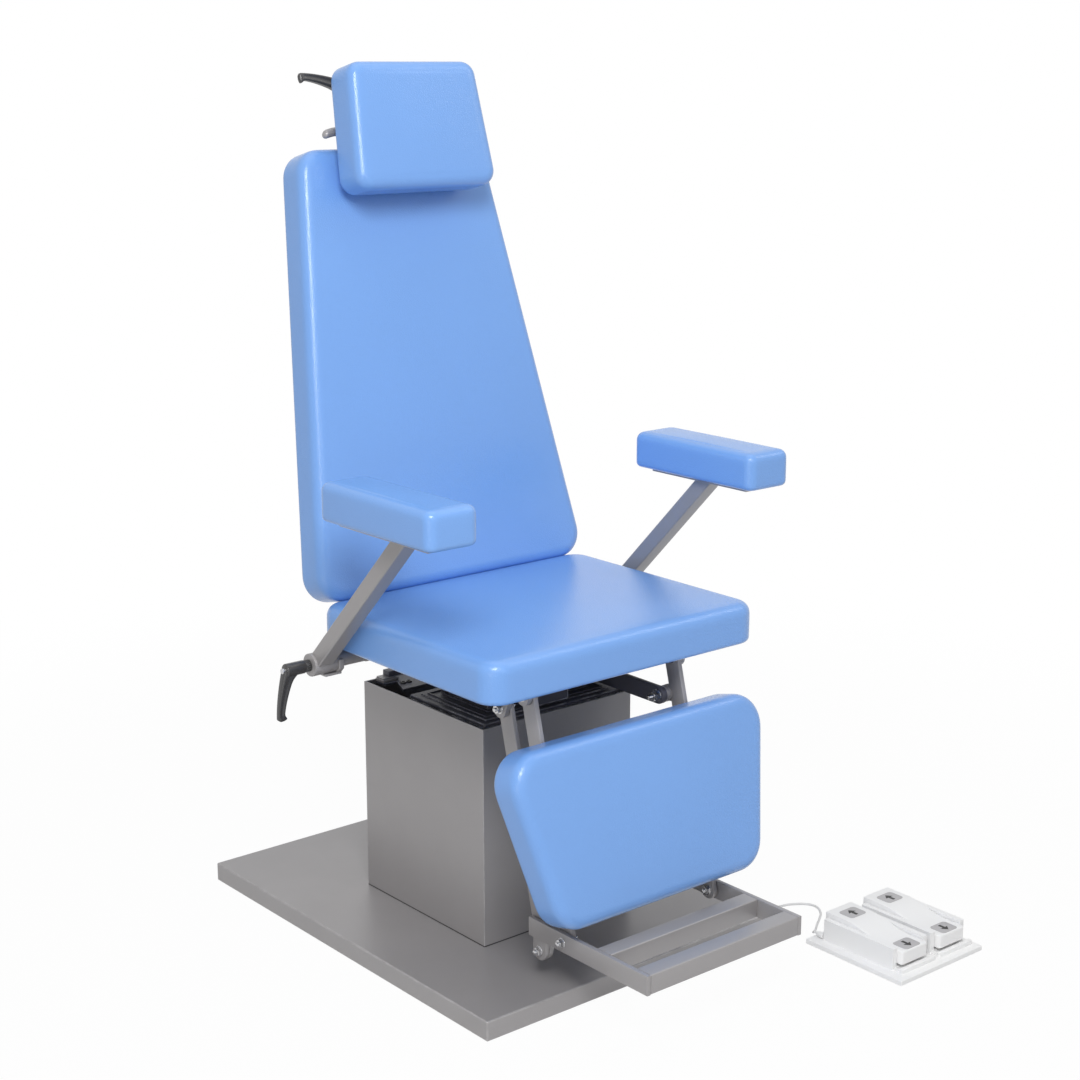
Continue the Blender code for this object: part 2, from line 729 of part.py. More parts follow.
def lift_actuator(finishes, root):
    foot = BASE_HEIGHT + GAP
    frame = axis_frame((0.0, LIFT_Y, foot), (0, 0, 1))
    profile = ((0.0, LIFT_TUBE_RADIUS), (LIFT_TUBE_LENGTH, LIFT_TUBE_RADIUS))
    body = piece("lift_actuator", turned(frame, profile), finishes["black"], root)
    width, depth, height = LIFT_MOTOR_SIZE
    motor = block((0.0, LIFT_Y - depth / 2, foot), (width, LIFT_Y + depth / 2, foot + height), BODY_BEVEL)
    fuse(body, motor, root)
    bore = LIFT_RAM_RADIUS + LIFT_BORE_CLEARANCE
    low = COVER_TOP - LIFT_RAM_LENGTH - LIFT_BORE_CLEARANCE
    mouth = axis_frame((0.0, LIFT_Y, low), (0, 0, 1))
    cut(body, turned(mouth, ((0.0, bore), (LIFT_RAM_LENGTH, bore))), root)


def lift_ram(finishes, lift):
    frame = axis_frame((0.0, LIFT_Y, COVER_TOP - LIFT_RAM_LENGTH), (0, 0, 1))
    profile = ((0.0, LIFT_RAM_RADIUS), (LIFT_RAM_LENGTH, LIFT_RAM_RADIUS))
    piece("lift_ram", turned(frame, profile), finishes["zinc"], lift)


def mouth_bracket(finishes, root):
    """A plate with two holes on the casing's rear wall, behind the covers, and a switch on it."""
    low_x = -CASING_WIDTH / 2 + CASING_WALL + MOUTH_BRACKET_INSET
    high_x = low_x + MOUTH_BRACKET_WIDTH
    rear_y = CASING_MIDDLE_Y + CASING_DEPTH / 2 - CASING_WALL - GAP
    front_y = rear_y - MOUTH_BRACKET_DEPTH
    tab_x = low_x + MOUTH_TAB_WIDTH
    tab_y = rear_y - MOUTH_TAB_DEPTH
    top = CASING_TOP - MOUTH_BRACKET_THICKNESS / 2
    low = top - MOUTH_BRACKET_THICKNESS
    plan = [(low_x, rear_y), (low_x, tab_y), (tab_x, tab_y), (tab_x - MOUTH_FLARE, front_y)]
    plan += [(high_x, front_y), (high_x, rear_y)]
    plate = loft(bmesh.new(), [[Vector((x, y, z)) for x, y in plan] for z in (low, top)])
    bracket = piece("mouth_bracket", plate, finishes["paint"], root)
    for index in (0, 1):
        x = low_x + MOUTH_HOLE_INSET + index * MOUTH_HOLE_SPACING
        frame = axis_frame((x, rear_y - MOUTH_HOLE_AHEAD, low - GAP), (0, 0, 1))
        drill_shape = ((0.0, MOUTH_HOLE_RADIUS), (2 * MOUTH_BRACKET_THICKNESS, MOUTH_HOLE_RADIUS))
        cut(bracket, turned(frame, drill_shape, 12), root)
    width, depth, height = SWITCH_SIZE
    switch_low = (low_x + SWITCH_INSET, rear_y - depth, top + GAP)
    switch_high = (switch_low[0] + width, rear_y, top + GAP + height)
    piece("limit_switch", block(switch_low, switch_high, EDGE_BREAK), finishes["black"], root)


def seat_pedestal(finishes, lift):
    """The black plate that closes the inner cover, with two cheeks up to the seat board."""
    low, high = cover_plan(1)
    plate = block((*low, PEDESTAL_LOW), (*high, PEDESTAL_TOP), EDGE_BREAK)
    pedestal = piece("seat_pedestal", plate, finishes["black"], lift)
    inset = PEDESTAL_STEP_INSET
    step_low = (low[0] + inset, low[1] + inset, PEDESTAL_LOW + PEDESTAL_PLATE / 2)
    step_high = (high[0] - inset, high[1] - inset, PEDESTAL_TOP + PEDESTAL_STEP)
    fuse(pedestal, block(step_low, step_high), lift)
    for side in (-1, 1):
        x = spread(side, CHEEK_SPACING / 2, CHEEK_SPACING / 2 + CHEEK_THICKNESS)
        cheek_low = (x[0], CHEEK_FRONT_Y, PEDESTAL_LOW + PEDESTAL_PLATE / 2)
        cheek_high = (x[1], CHEEK_FRONT_Y + CHEEK_DEPTH, BOARD_LOW - GAP)
        fuse(pedestal, block(cheek_low, cheek_high), lift)


def seat_board(finishes, lift):
    low = (-BOARD_WIDTH / 2, BOARD_FRONT_Y, BOARD_LOW)
    high = (BOARD_WIDTH / 2, BOARD_REAR_Y, BOARD_LOW + BOARD_THICKNESS)
    piece("seat_board", block(low, high, BOARD_BEVEL), finishes["black"], lift)


def seat_cushion(finishes, lift):
    frame = Matrix.Translation((0.0, SEAT_FRONT_Y, SEAT_UNDERSIDE))
    half = SEAT_WIDTH / 2
    shape = cushion(frame, half, half, SEAT_DEPTH, SEAT_THICKNESS, SEAT_CORNER)
    piece("seat_cushion", shape, finishes["vinyl"], lift)


def bolt_shape(centre, side, seat):
    """A bolt through an ear and a link, head outside and nut inside; seat is the head's gap to the ear."""
    inner = LINK_INNER_X - GAP
    outer = EAR_OUTER_X + seat
    frame = axis_frame((side * (outer + BOLT_HEAD), *centre), (-side, 0, 0))
    shank = BOLT_HEAD + outer - inner
    profile = ((0.0, BOLT_HEAD_RADIUS), (BOLT_HEAD, BOLT_HEAD_RADIUS), (BOLT_HEAD, BOLT_RADIUS))
    profile += ((shank, BOLT_RADIUS), (shank, BOLT_HEAD_RADIUS), (shank + BOLT_HEAD, BOLT_HEAD_RADIUS))
    return turned(frame, profile, BOLT_SIDES)


def link_bracket(side, finishes, lift):
    """The cheek plate under the seat front, with a bolt for each link; the rear link is on the right."""
    rear = Vector(REAR_PIVOT)
    front = Vector(FRONT_PIVOT)
    down = Vector((0, -1))
    top = BOARD_LOW - GAP
    nose_top = SEAT_UNDERSIDE - SIDE_PLAY
    step_y = BOARD_FRONT_Y - SIDE_PLAY
    outline = [Vector((rear.x + EAR_RADIUS, top))]
    if side < 0:
        outline += half_round(rear, down, EAR_RADIUS)
        outline += [rear.lerp(front, 0.5) + Vector((0.0, EAR_RADIUS / 2))]
    else:
        outline += [Vector((rear.x + EAR_RADIUS, top - EAR_RADIUS))]
    outline += half_round(front, down, EAR_RADIUS)
    outline += [Vector((front.x - EAR_RADIUS, nose_top)), Vector((step_y, nose_top)), Vector((step_y, top))]
    x = spread(side, EAR_INNER_X, EAR_OUTER_X)
    bracket = piece(sided("link_bracket", side), prism(outline, *x), finishes["paint"], lift)
    for pivot in (REAR_PIVOT, FRONT_PIVOT) if side < 0 else (FRONT_PIVOT,):
        fuse(bracket, bolt_shape(pivot, side, -SIDE_PLAY), lift)


def tube_bracket(side, finishes, lift):
    """A plate from the seat board's underside to a ring round the cross tube."""
    centre = Vector((HINGE_Y, HINGE_Z))
    front_y = BOARD_REAR_Y - TUBE_BRACKET_REACH
    rear_y = BOARD_REAR_Y + SIDE_PLAY
    top = BOARD_LOW - GAP
    outline = [(front_y, top - TUBE_BRACKET_HEIGHT), (front_y, top), (rear_y, top)]
    outline += [(rear_y, HINGE_Z + TUBE_BRACKET_RADIUS)]
    outline += half_round(centre, Vector((1, 0)), TUBE_BRACKET_RADIUS)
    x = spread(side, TUBE_BRACKET_X, TUBE_BRACKET_X + TUBE_BRACKET_THICKNESS)
    bracket = piece(sided("tube_bracket", side), prism(outline, *x), finishes["paint"], lift)
    drill(bracket, centre, CROSS_TUBE_RADIUS + GAP, lift, x)


def cross_tube(finishes, lift):
    """The fixed tube under the seat's rear, with a chamfered block at each end, bored for the clamp studs."""
    centre = (HINGE_Y, HINGE_Z)
    inside = CROSS_TUBE_HALF - EDGE_BREAK
    tube = piece("cross_tube", rod_x(centre, -inside, inside, CROSS_TUBE_RADIUS), finishes["paint"], lift)
    half, above, below, chamfer = END_BLOCK_HALF, END_BLOCK_ABOVE, END_BLOCK_BELOW, END_BLOCK_CHAMFER
    corners = ((-half, above), (-half, chamfer - below), (chamfer - half, -below))
    corners += ((half - chamfer, -below), (half, chamfer - below), (half, above))
    outline = [(HINGE_Y + y, HINGE_Z + z) for y, z in corners]
    for side in (-1, 1):
        x = spread(side, CROSS_TUBE_HALF - END_BLOCK_WIDTH, CROSS_TUBE_HALF)
        fuse(tube, prism(outline, *x), lift)
    drill(tube, centre, CROSS_TUBE_BORE, lift, (-CROSS_TUBE_HALF, CROSS_TUBE_HALF))


def coupling_stud(centre):
    """The stud that the coupling bar turns on, from the lug's plate inwards, with its nut."""
    start = LUG_INNER_X + LUG_THICKNESS / 2
    shank = start - COUPLING_INNER_X + SIDE_PLAY
    frame = axis_frame((start, *centre), (-1, 0, 0))
    profile = ((0.0, BOLT_RADIUS), (shank, BOLT_RADIUS), (shank, BOLT_HEAD_RADIUS))
    profile += ((shank + COUPLING_NUT, BOLT_HEAD_RADIUS),)
    return turned(frame, profile, BOLT_SIDES)


def drive_crank_point(reach):
    """The (y, z) point this far out along the slotted crank at rest."""
    centre = Vector((HINGE_Y, HINGE_Z))
    pin = Vector((DRIVE_PIN_REST_Y, DRIVE_Z))
    return centre + (pin - centre).normalized() * reach


def hinge_sleeve(finishes, recline):
    """The sleeve that the backrest turns on, with the coupling bar's crank and the slotted drive crank."""
    centre = Vector((HINGE_Y, HINGE_Z))
    half = UPRIGHT_X - GAP
    bore = CROSS_TUBE_RADIUS + PIVOT_FIT
    sleeve = piece("hinge_sleeve", rod_x(centre, -half, half, SLEEVE_RADIUS), finishes["paint"], recline)
    crank = prism(bar_outline(centre, CRANK_END, LUG_RADIUS), LUG_INNER_X, LUG_OUTER_X)
    fuse(sleeve, crank, recline)
    fuse(sleeve, coupling_stud(CRANK_END), recline)
    far = drive_crank_point(DRIVE_SLOT_FAR)
    half_crank = DRIVE_CRANK_THICKNESS / 2
    drive = prism(bar_outline(centre, far, DRIVE_CRANK_RADIUS), -half_crank, half_crank)
    fuse(sleeve, drive, recline)
    slot = bar_outline(drive_crank_point(DRIVE_SLOT_NEAR), far, DRIVE_PIN_RADIUS + DRIVE_SLOT_PLAY)
    cut(sleeve, prism(slot, -DRIVE_CRANK_THICKNESS, DRIVE_CRANK_THICKNESS), recline)
    drill(sleeve, centre, bore, recline, (-half, half))


def recline_actuator(finishes, lift):
    low_z = PEDESTAL_TOP + PEDESTAL_STEP + GAP
    half = DRIVE_BODY_WIDTH / 2
    low = (-half, DRIVE_BODY_REAR_Y - DRIVE_BODY_LENGTH, low_z)
    high = (half, DRIVE_BODY_REAR_Y, low_z + DRIVE_BODY_HEIGHT)
    body = piece("recline_actuator", block(low, high, BODY_BEVEL), finishes["black"], lift)
    frame = axis_frame((0.0, DRIVE_BODY_REAR_Y + SIDE_PLAY, DRIVE_Z), (0, -1, 0))
    bore = DRIVE_ROD_RADIUS + PIVOT_FIT
    cut(body, turned(frame, ((0.0, bore), (DRIVE_BORE_DEPTH, bore))), lift)


def recline_rod(finishes, drive):
    """The pushing rod with a fork round the slotted crank and the pin that runs in its slot."""
    throat_y = DRIVE_PIN_REST_Y - DRIVE_FORK_DEPTH
    inner = DRIVE_CRANK_THICKNESS / 2 + DRIVE_FORK_PLAY
    outer = inner + DRIVE_TINE
    low = (-outer, throat_y - DRIVE_FORK_ROOT, DRIVE_Z - DRIVE_FORK_HALF)
    high = (outer, DRIVE_PIN_REST_Y + DRIVE_FORK_HALF, DRIVE_Z + DRIVE_FORK_HALF)
    rod = piece("recline_rod", block(low, high), finishes["zinc"], drive)
    throat_low = (-inner, throat_y, low[2] - SIDE_PLAY)
    throat_high = (inner, high[1] + SIDE_PLAY, high[2] + SIDE_PLAY)
    cut(rod, block(throat_low, throat_high), drive)
    start_y = DRIVE_BODY_REAR_Y - DRIVE_ROD_INSIDE
    length = throat_y - DRIVE_FORK_ROOT / 2 - start_y
    frame = axis_frame((0.0, start_y, DRIVE_Z), (0, 1, 0))
    fuse(rod, turned(frame, ((0.0, DRIVE_ROD_RADIUS), (length, DRIVE_ROD_RADIUS))), drive)
    pin_half = inner + DRIVE_TINE / 2
    fuse(rod, rod_x((DRIVE_PIN_REST_Y, DRIVE_Z), -pin_half, pin_half, DRIVE_PIN_RADIUS, BOLT_SIDES), drive)


def backrest_upright(side, finishes, recline):
    """A flat bar behind the backrest cushion, bent forward at its foot to the hinge line."""
    behind = BACK_THICKNESS + GAP + UPRIGHT_WIDTH / 2
    hinge = Vector((HINGE_Y, HINGE_Z))
    path = (BACK.at(UPRIGHT_TOP, behind), BACK.at(UPRIGHT_KNEE, behind), hinge)
    outline = bent_bar_outline(path, UPRIGHT_WIDTH / 2, False)
    x = spread(side, UPRIGHT_X, UPRIGHT_X + UPRIGHT_THICKNESS)
    upright = piece(sided("backrest_upright", side), prism(outline, *x), finishes["paint"], recline)
    drill(upright, hinge, CROSS_TUBE_RADIUS + PIVOT_FIT, recline, x)


def crossbar_shape(place):
    """A flat bar across the back of the backrest cushion, between the uprights."""
    half = CROSSBAR_HEIGHT / 2
    front = BACK_THICKNESS + GAP
    rear = front + CROSSBAR_THICKNESS
    corners = ((place - half, front), (place + half, front), (place + half, rear), (place - half, rear))
    edge = UPRIGHT_X - GAP
    return prism([BACK.at(*corner) for corner in corners], -edge, edge)


def backrest_frame(finishes, recline):
    """The lower crossbar, and the headrest guide with the two upper crossbars that it's welded to."""
    piece("backrest_crossbar", crossbar_shape(CROSSBAR_LOWER), finishes["paint"], recline)
    guide = piece("headrest_guide", crossbar_shape(CROSSBAR_MIDDLE), finishes["paint"], recline)
    half_width = POST_WIDTH / 2 + PIVOT_FIT + GUIDE_WALL
    half_depth = POST_DEPTH / 2 + PIVOT_FIT + GUIDE_WALL
    length = CROSSBAR_UPPER - CROSSBAR_MIDDLE + CROSSBAR_HEIGHT - 2 * SIDE_PLAY
    bottom = CROSSBAR_MIDDLE - CROSSBAR_HEIGHT / 2 + SIDE_PLAY
    turn = Matrix.Rotation(math.radians(-90), 4, "X")
    frame = BACK.matrix(bottom, POST_BEHIND) @ turn
    tube = box_tube(frame, (-half_width, -half_depth), (half_width, half_depth), GUIDE_WALL, 0.0, length)
    fuse(guide, tube, recline)
    fuse(guide, crossbar_shape(CROSSBAR_UPPER), recline)


def backrest_cushion(finishes, recline):
    frame = BACK.matrix(0.0, BACK_THICKNESS)
    shape = cushion(frame, BACK_HALF_BOTTOM, BACK_HALF_TOP, BACK_LENGTH, BACK_THICKNESS, BACK_CORNER)
    piece("backrest_cushion", shape, finishes["vinyl"], recline)


def headrest_post(finishes, height):
    """A flat post in the guide, with an arm forward over the backrest's top to the tilt rod."""
    rod_along, _ = BACK.place_of(ROD_PLACE)
    front = POST_BEHIND - POST_DEPTH / 2
    rear = POST_BEHIND + POST_DEPTH / 2
    outline = [BACK.at(POST_BOTTOM, rear), BACK.at(POST_BOTTOM, front)]
    outline += [BACK.at(rod_along - POST_ARM_RADIUS, front)]
    outline += half_round(ROD_PLACE, -BACK.rear, POST_ARM_RADIUS)
    outline += [BACK.at(rod_along + POST_ARM_RADIUS, rear)]
    half = POST_WIDTH / 2
    post = piece("headrest_post", prism(outline, -half, half), finishes["paint"], height)
    drill(post, ROD_PLACE, ROD_RADIUS + GAP, height, (-half, half))
    frame = axis_frame((-ROD_HALF, *ROD_PLACE), (1, 0, 0))
    chamfer = ROD_RADIUS - EDGE_BREAK
    profile = ((0.0, chamfer), (EDGE_BREAK, ROD_RADIUS))
    profile += ((2 * ROD_HALF - EDGE_BREAK, ROD_RADIUS), (2 * ROD_HALF, chamfer))
    piece("headrest_rod", turned(frame, profile), finishes["paint"], height)


def head_block(x, along, behind, bevel=0.0):
    """A box in the headrest's leaning frame: pairs of X, height up the pad and depth behind its front."""
    shape = block((x[0], along[0], -behind[1]), (x[1], along[1], -behind[0]), bevel)
    bmesh.ops.transform(shape, matrix=HEAD.matrix(0.0, 0.0), verts=shape.verts)
    return shape


def headrest_bracket(finishes, tilt):
    """The plate on the headrest cushion's back, with two blocks that the tilt rod passes through."""
    half = BACK_PLATE_WIDTH / 2
    tall = (ROD_HEIGHT - BACK_PLATE_HEIGHT / 2, ROD_HEIGHT + BACK_PLATE_HEIGHT / 2)
    front = HEAD_THICKNESS + GAP
    rear = front + CLAMP_DEPTH
    rod_depth = HEAD_THICKNESS + ROD_BEHIND
    plate = head_block((-half, half), tall, (front, front + BACK_PLATE_THICKNESS), EDGE_BREAK)
    bracket = piece("headrest_bracket", plate, finishes["paint"], tilt)
    for side in (-1, 1):
        x = spread(side, CLAMP_X - CLAMP_WIDTH / 2, CLAMP_X + CLAMP_WIDTH / 2)
        high = (ROD_HEIGHT - CLAMP_BELOW, ROD_HEIGHT + CLAMP_ABOVE)
        fuse(bracket, head_block(x, high, (front + BACK_PLATE_THICKNESS / 2, rear)), tilt)
    slit_x = spread(-1, CLAMP_X - CLAMP_WIDTH, CLAMP_X + CLAMP_WIDTH)
    slit = (ROD_HEIGHT - CLAMP_SLIT / 2, ROD_HEIGHT + CLAMP_SLIT / 2)
    cut(bracket, head_block(slit_x, slit, (rod_depth, rear + SIDE_PLAY)), tilt)
    drill(bracket, ROD_PLACE, ROD_RADIUS + PIVOT_FIT, tilt, (-half, half))
    hole = LEVER_STUD_RADIUS + PIVOT_FIT
    depth = HEAD_STUD + SIDE_PLAY
    top = clamp_screw_frame()
    cut(bracket, turned(top @ Matrix.Translation((0, 0, -depth)), ((0.0, hole), (2 * depth, hole))), tilt)


def clamp_screw_frame():
    """The frame of the headrest's clamp lever: Z up its screw, X along its arm."""
    y, z = HEAD.at(ROD_HEIGHT + CLAMP_ABOVE + GAP, HEAD_THICKNESS + ROD_BEHIND + CLAMP_SCREW_BEHIND)
    return lever_frame((-CLAMP_X, y, z), (0, *HEAD.up), (-1, 0, 0))


def headrest_cushion(finishes, tilt):
    frame = HEAD.matrix(0.0, HEAD_THICKNESS)
    size = (HEAD_HALF_BOTTOM, HEAD_HALF_TOP, HEAD_LENGTH, HEAD_THICKNESS)
    piece("headrest_cushion", cushion(frame, *size, HEAD_CORNER, HEAD_EDGE), finishes["vinyl"], tilt)


def lever_frame(place, outward, along):
    """A clamp lever's frame: Z out along its hub, X along its arm."""
    outward = Vector(outward)
    along = Vector(along)
    turn = Matrix((along, outward.cross(along), outward)).transposed().to_4x4()
    return Matrix.Translation(place) @ turn


def clamp_lever(name, frame, stud, finishes, pivot):
    """A clamp lever: a stud into the clamp, a collar and hub, and a tapering arm that leans outwards."""
    tip = LEVER_HUB - LEVER_TIP
    profile = ((-stud, LEVER_STUD_RADIUS), (0.0, LEVER_STUD_RADIUS), (0.0, LEVER_COLLAR_RADIUS))
    profile += ((LEVER_COLLAR, LEVER_COLLAR_RADIUS), (LEVER_COLLAR, LEVER_HUB_RADIUS))
    profile += ((tip, LEVER_HUB_RADIUS), (LEVER_HUB, LEVER_HUB_RADIUS - LEVER_TIP))
    lever = piece(name, turned(frame, profile, BOLT_SIDES), finishes["lever"], pivot)
    rings = []
    for share in (0.0, 0.25, 0.5, 0.75, 1.0):
        half_y = LEVER_ROOT_HALF + (LEVER_TIP_HALF - LEVER_ROOT_HALF) * share
        half_z = LEVER_ROOT_DEPTH + (LEVER_TIP_DEPTH - LEVER_ROOT_DEPTH) * share
        middle = LEVER_ROOT_OUT + LEVER_LEAN * math.sin(share * math.pi / 2)
        chamfer = half_y / 2
        corners = ((half_y, half_z - chamfer), (half_y - chamfer, half_z))
        ring = [*corners, *((-y, z) for y, z in reversed(corners))]
        ring += [*((-y, -z) for y, z in corners), *((y, -z) for y, z in reversed(corners))]
        rings.append([frame @ Vector((LEVER_ARM * share, y, middle + z)) for y, z in ring])
    fuse(lever, loft(bmesh.new(), rings), pivot)


def front_link(side, finishes, legrest):
    """One front link; the left one carries the lug and stud of the coupling bar."""
    x = spread(side, LINK_INNER_X, LINK_OUTER_X)
    outline = bar_outline(Vector(FRONT_PIVOT), FRONT_FOOT, LINK_WIDTH / 2)
    link = piece(sided("front_link", side), prism(outline, *x), finishes["paint"], legrest)
    drill(link, FRONT_PIVOT, BOLT_RADIUS + PIVOT_FIT, legrest, x)
    drill(link, FRONT_FOOT, BOLT_RADIUS + PIVOT_FIT, legrest, x)
    if side > 0:
        root = leg_point(FRONT_PIVOT, LUG_ALONG)
        fuse(link, rod_x(root, LUG_OUTER_X - SIDE_PLAY, LINK_INNER_X + SIDE_PLAY, LUG_WELD_RADIUS), legrest)
        fuse(link, prism(bar_outline(root, LUG, LUG_RADIUS), LUG_INNER_X, LUG_OUTER_X), legrest)
        fuse(link, coupling_stud(LUG), legrest)


def rear_link(finishes, rear):
    """The one rear link, on the sitter's right, which keeps the footrest level."""
    x = spread(-1, LINK_INNER_X, LINK_OUTER_X)
    outline = bar_outline(Vector(REAR_PIVOT), REAR_FOOT, LINK_WIDTH / 2)
    link = piece("rear_link", prism(outline, *x), finishes["paint"], rear)
    drill(link, REAR_PIVOT, BOLT_RADIUS + PIVOT_FIT, rear, x)
    drill(link, REAR_FOOT, BOLT_RADIUS + PIVOT_FIT, rear, x)


def legrest_pad(finishes, legrest):
    """The legrest cushion on the front links, and the two bars that tie the links together."""
    face = LINK_WIDTH / 2 + 2 * GAP
    frame = LEG.matrix(-LEGREST_DROP - LEGREST_LENGTH, -face)
    size = (LEGREST_HALF_BOTTOM, LEGREST_HALF_TOP, LEGREST_LENGTH, LEGREST_THICKNESS)
    piece("legrest_cushion", cushion(frame, *size, LEGREST_CORNER), finishes["vinyl"], legrest)
    edge = LINK_INNER_X - GAP
    front = GAP - face
    rear = front + LEG_CROSSBAR_DEPTH
    for name, place in (("upper", LEG_CROSSBAR_UPPER), ("lower", LEG_CROSSBAR_LOWER)):
        low = -place - LEG_CROSSBAR_HEIGHT / 2
        high = -place + LEG_CROSSBAR_HEIGHT / 2
        outline = [LEG.at(*corner) for corner in ((low, front), (high, front), (high, rear), (low, rear))]
        piece(f"legrest_crossbar_{name}", prism(outline, -edge, edge), finishes["paint"], legrest)


def coupling_bar(finishes, coupling):
    outline = bar_outline(LUG, CRANK_END, COUPLING_WIDTH / 2)
    x = (COUPLING_INNER_X, COUPLING_OUTER_X)
    bar = piece("coupling_bar", prism(outline, *x), finishes["black"], coupling)
    drill(bar, LUG, BOLT_RADIUS + PIVOT_FIT, coupling, x)
    drill(bar, CRANK_END, BOLT_RADIUS + COUPLING_PLAY, coupling, x)


def footrest_bar(side, finishes, footrest):
    """A side bar of the footrest, level, with its bolts; the right one has an ear down to the rear link."""
    top = FOOT_LOW + FOOT_HEIGHT
    outline = [(FOOT_REAR_Y, top), (FOOT_FRONT_Y, top), (FOOT_FRONT_Y, FOOT_LOW)]
    pivots = {"front": FRONT_FOOT}
    if side < 0:
        pivots["rear"] = REAR_FOOT
        ear = half_round(REAR_FOOT, Vector((0, -1)), LINK_WIDTH / 2)[::-1]
        outline += [(ear[0].x - FOOT_EAR_FLARE, FOOT_LOW), *ear, (ear[-1].x, FOOT_LOW)]
    outline += [(FOOT_REAR_Y, FOOT_LOW)]
    x = spread(side, EAR_INNER_X, EAR_OUTER_X)
    bar = piece(sided("footrest_bar", side), prism(outline, *x), finishes["paint"], footrest)
    for name, centre in pivots.items():
        drill(bar, centre, BOLT_RADIUS + PIVOT_FIT, footrest, x)
        bolt_name = sided(f"footrest_bolt_{name}", side)
        piece(bolt_name, bolt_shape(centre, side, GAP), finishes["zinc"], footrest)


def footrest_tube(name, middle_y, finishes, footrest):
    """A square tube across the footrest, between its side bars."""
    half = FOOT_TUBE / 2
    edge = EAR_INNER_X - GAP
    frame = axis_frame((-edge, middle_y, FOOT_LOW + FOOT_HEIGHT / 2), (1, 0, 0))
    shape = box_tube(frame, (-half, -half), (half, half), FOOT_TUBE_WALL, 0.0, 2 * edge)
    piece(name, shape, finishes["paint"], footrest)


def arm_frame(side, finishes, arm):
    """The arm's hub and slanting tube, and the plate under its cushion."""
    centre = Vector((HINGE_Y, HINGE_Z))
    hub_x = spread(side, ARM_HUB_INNER_X, ARM_HUB_OUTER_X)
    tube = piece(sided("arm_tube", side), rod_x(centre, *hub_x, ARM_HUB_RADIUS, 20), finishes["paint"], arm)
    run = Vector((-math.sin(ARM_LEAN), math.cos(ARM_LEAN)))
    across = Vector((run.y, -run.x)) * ARM_TUBE_DEPTH / 2
    plate_low = ARM_PAD_LOW - GAP - ARM_PLATE_THICKNESS
    outline = []
    for start in (centre + across, centre - across):
        end = start + run * (plate_low - GAP - start.y) / run.y
        outline += [start, end] if not outline else [end, start]
    tube_x = spread(side, ARM_TUBE_INNER_X, ARM_TUBE_INNER_X + ARM_TUBE_WIDTH)
    fuse(tube, prism(outline, *tube_x), arm)
    drill(tube, centre, LEVER_STUD_RADIUS + PIVOT_FIT, arm, hub_x)
    middle = ARM_PAD_INNER_X + ARM_PAD_WIDTH / 2
    x = spread(side, middle - ARM_PLATE_WIDTH / 2, middle + ARM_PLATE_WIDTH / 2)
    front_y = ARM_PAD_FRONT_Y + ARM_PLATE_SETBACK
    low = (x[0], front_y, plate_low)
    high = (x[1], front_y + ARM_PLATE_LENGTH, plate_low + ARM_PLATE_THICKNESS)
    piece(sided("arm_plate", side), block(low, high, EDGE_BREAK), finishes["paint"], arm)


def arm_cushion(side, finishes, arm):
    half = ARM_PAD_WIDTH / 2
    frame = Matrix.Translation((side * (ARM_PAD_INNER_X + half), ARM_PAD_FRONT_Y, ARM_PAD_LOW))
    shape = cushion(frame, half, half, ARM_PAD_LENGTH, ARM_PAD_THICKNESS, ARM_PAD_CORNER, ARM_PAD_EDGE)
    piece(sided("arm_cushion", side), shape, finishes["vinyl"], arm)


def arm_lever(side, finishes, pivot):
    frame = lever_frame((side * (ARM_HUB_OUTER_X + GAP), HINGE_Y, HINGE_Z), (side, 0, 0), (0, 0, -1))
    clamp_lever(sided("arm_lever", side), frame, LEVER_STUD, finishes, pivot)


def trough_shape(low_x):
    """A pedal housing: a floor between two side walls, as one section along Y."""
    high_x = low_x + HOUSING_WIDTH
    foot = PEDAL_PLATE / 2
    section = [(low_x, foot), (high_x, foot), (high_x, HOUSING_TOP), (high_x - HOUSING_WALL, HOUSING_TOP)]
    section += [(high_x - HOUSING_WALL, LEDGE_TOP), (low_x + HOUSING_WALL, LEDGE_TOP)]
    section += [(low_x + HOUSING_WALL, HOUSING_TOP), (low_x, HOUSING_TOP)]
    ends = (HOUSING_FRONT_Y, HOUSING_REAR_Y)
    return loft(bmesh.new(), [[Vector((x, y, z)) for x, z in section] for y in ends])


def pedal_base(finishes, root):
    """The pedal's base plate with two troughs for the rockers."""
    low = (PEDAL_LEFT_X, PEDAL_FRONT_Y, 0.0)
    high = (PEDAL_LEFT_X + PEDAL_SIDE, PEDAL_FRONT_Y + PEDAL_SIDE, PEDAL_PLATE)
    base = piece("pedal_base", block(low, high, EDGE_BREAK), finishes["white"], root)
    for housing_x in HOUSING_X:
        fuse(base, trough_shape(housing_x), root)
        low_x = housing_x + EDGE_BREAK
        high_x = housing_x + HOUSING_WIDTH - EDGE_BREAK
        low = (low_x, LEDGE_FRONT_Y, PEDAL_PLATE / 2)
        high = (high_x, HOUSING_FRONT_Y + HOUSING_WALL, LEDGE_TOP - EDGE_BREAK)
        fuse(base, block(low, high), root)
        hole_x = (housing_x + ROCKER_HOLE_SKIN, housing_x + HOUSING_WIDTH - ROCKER_HOLE_SKIN)
        cut(base, rod_x(rocker_axis(), *hole_x, ROCKER_PIN_RADIUS + PIVOT_FIT), root)


def rocker_axis():
    """The (y, z) place of the rockers' pins, midway along the housings."""
    return (ROCKER_REAR_Y + ROCKER_FRONT_Y) / 2, ROCKER_PIVOT_Z


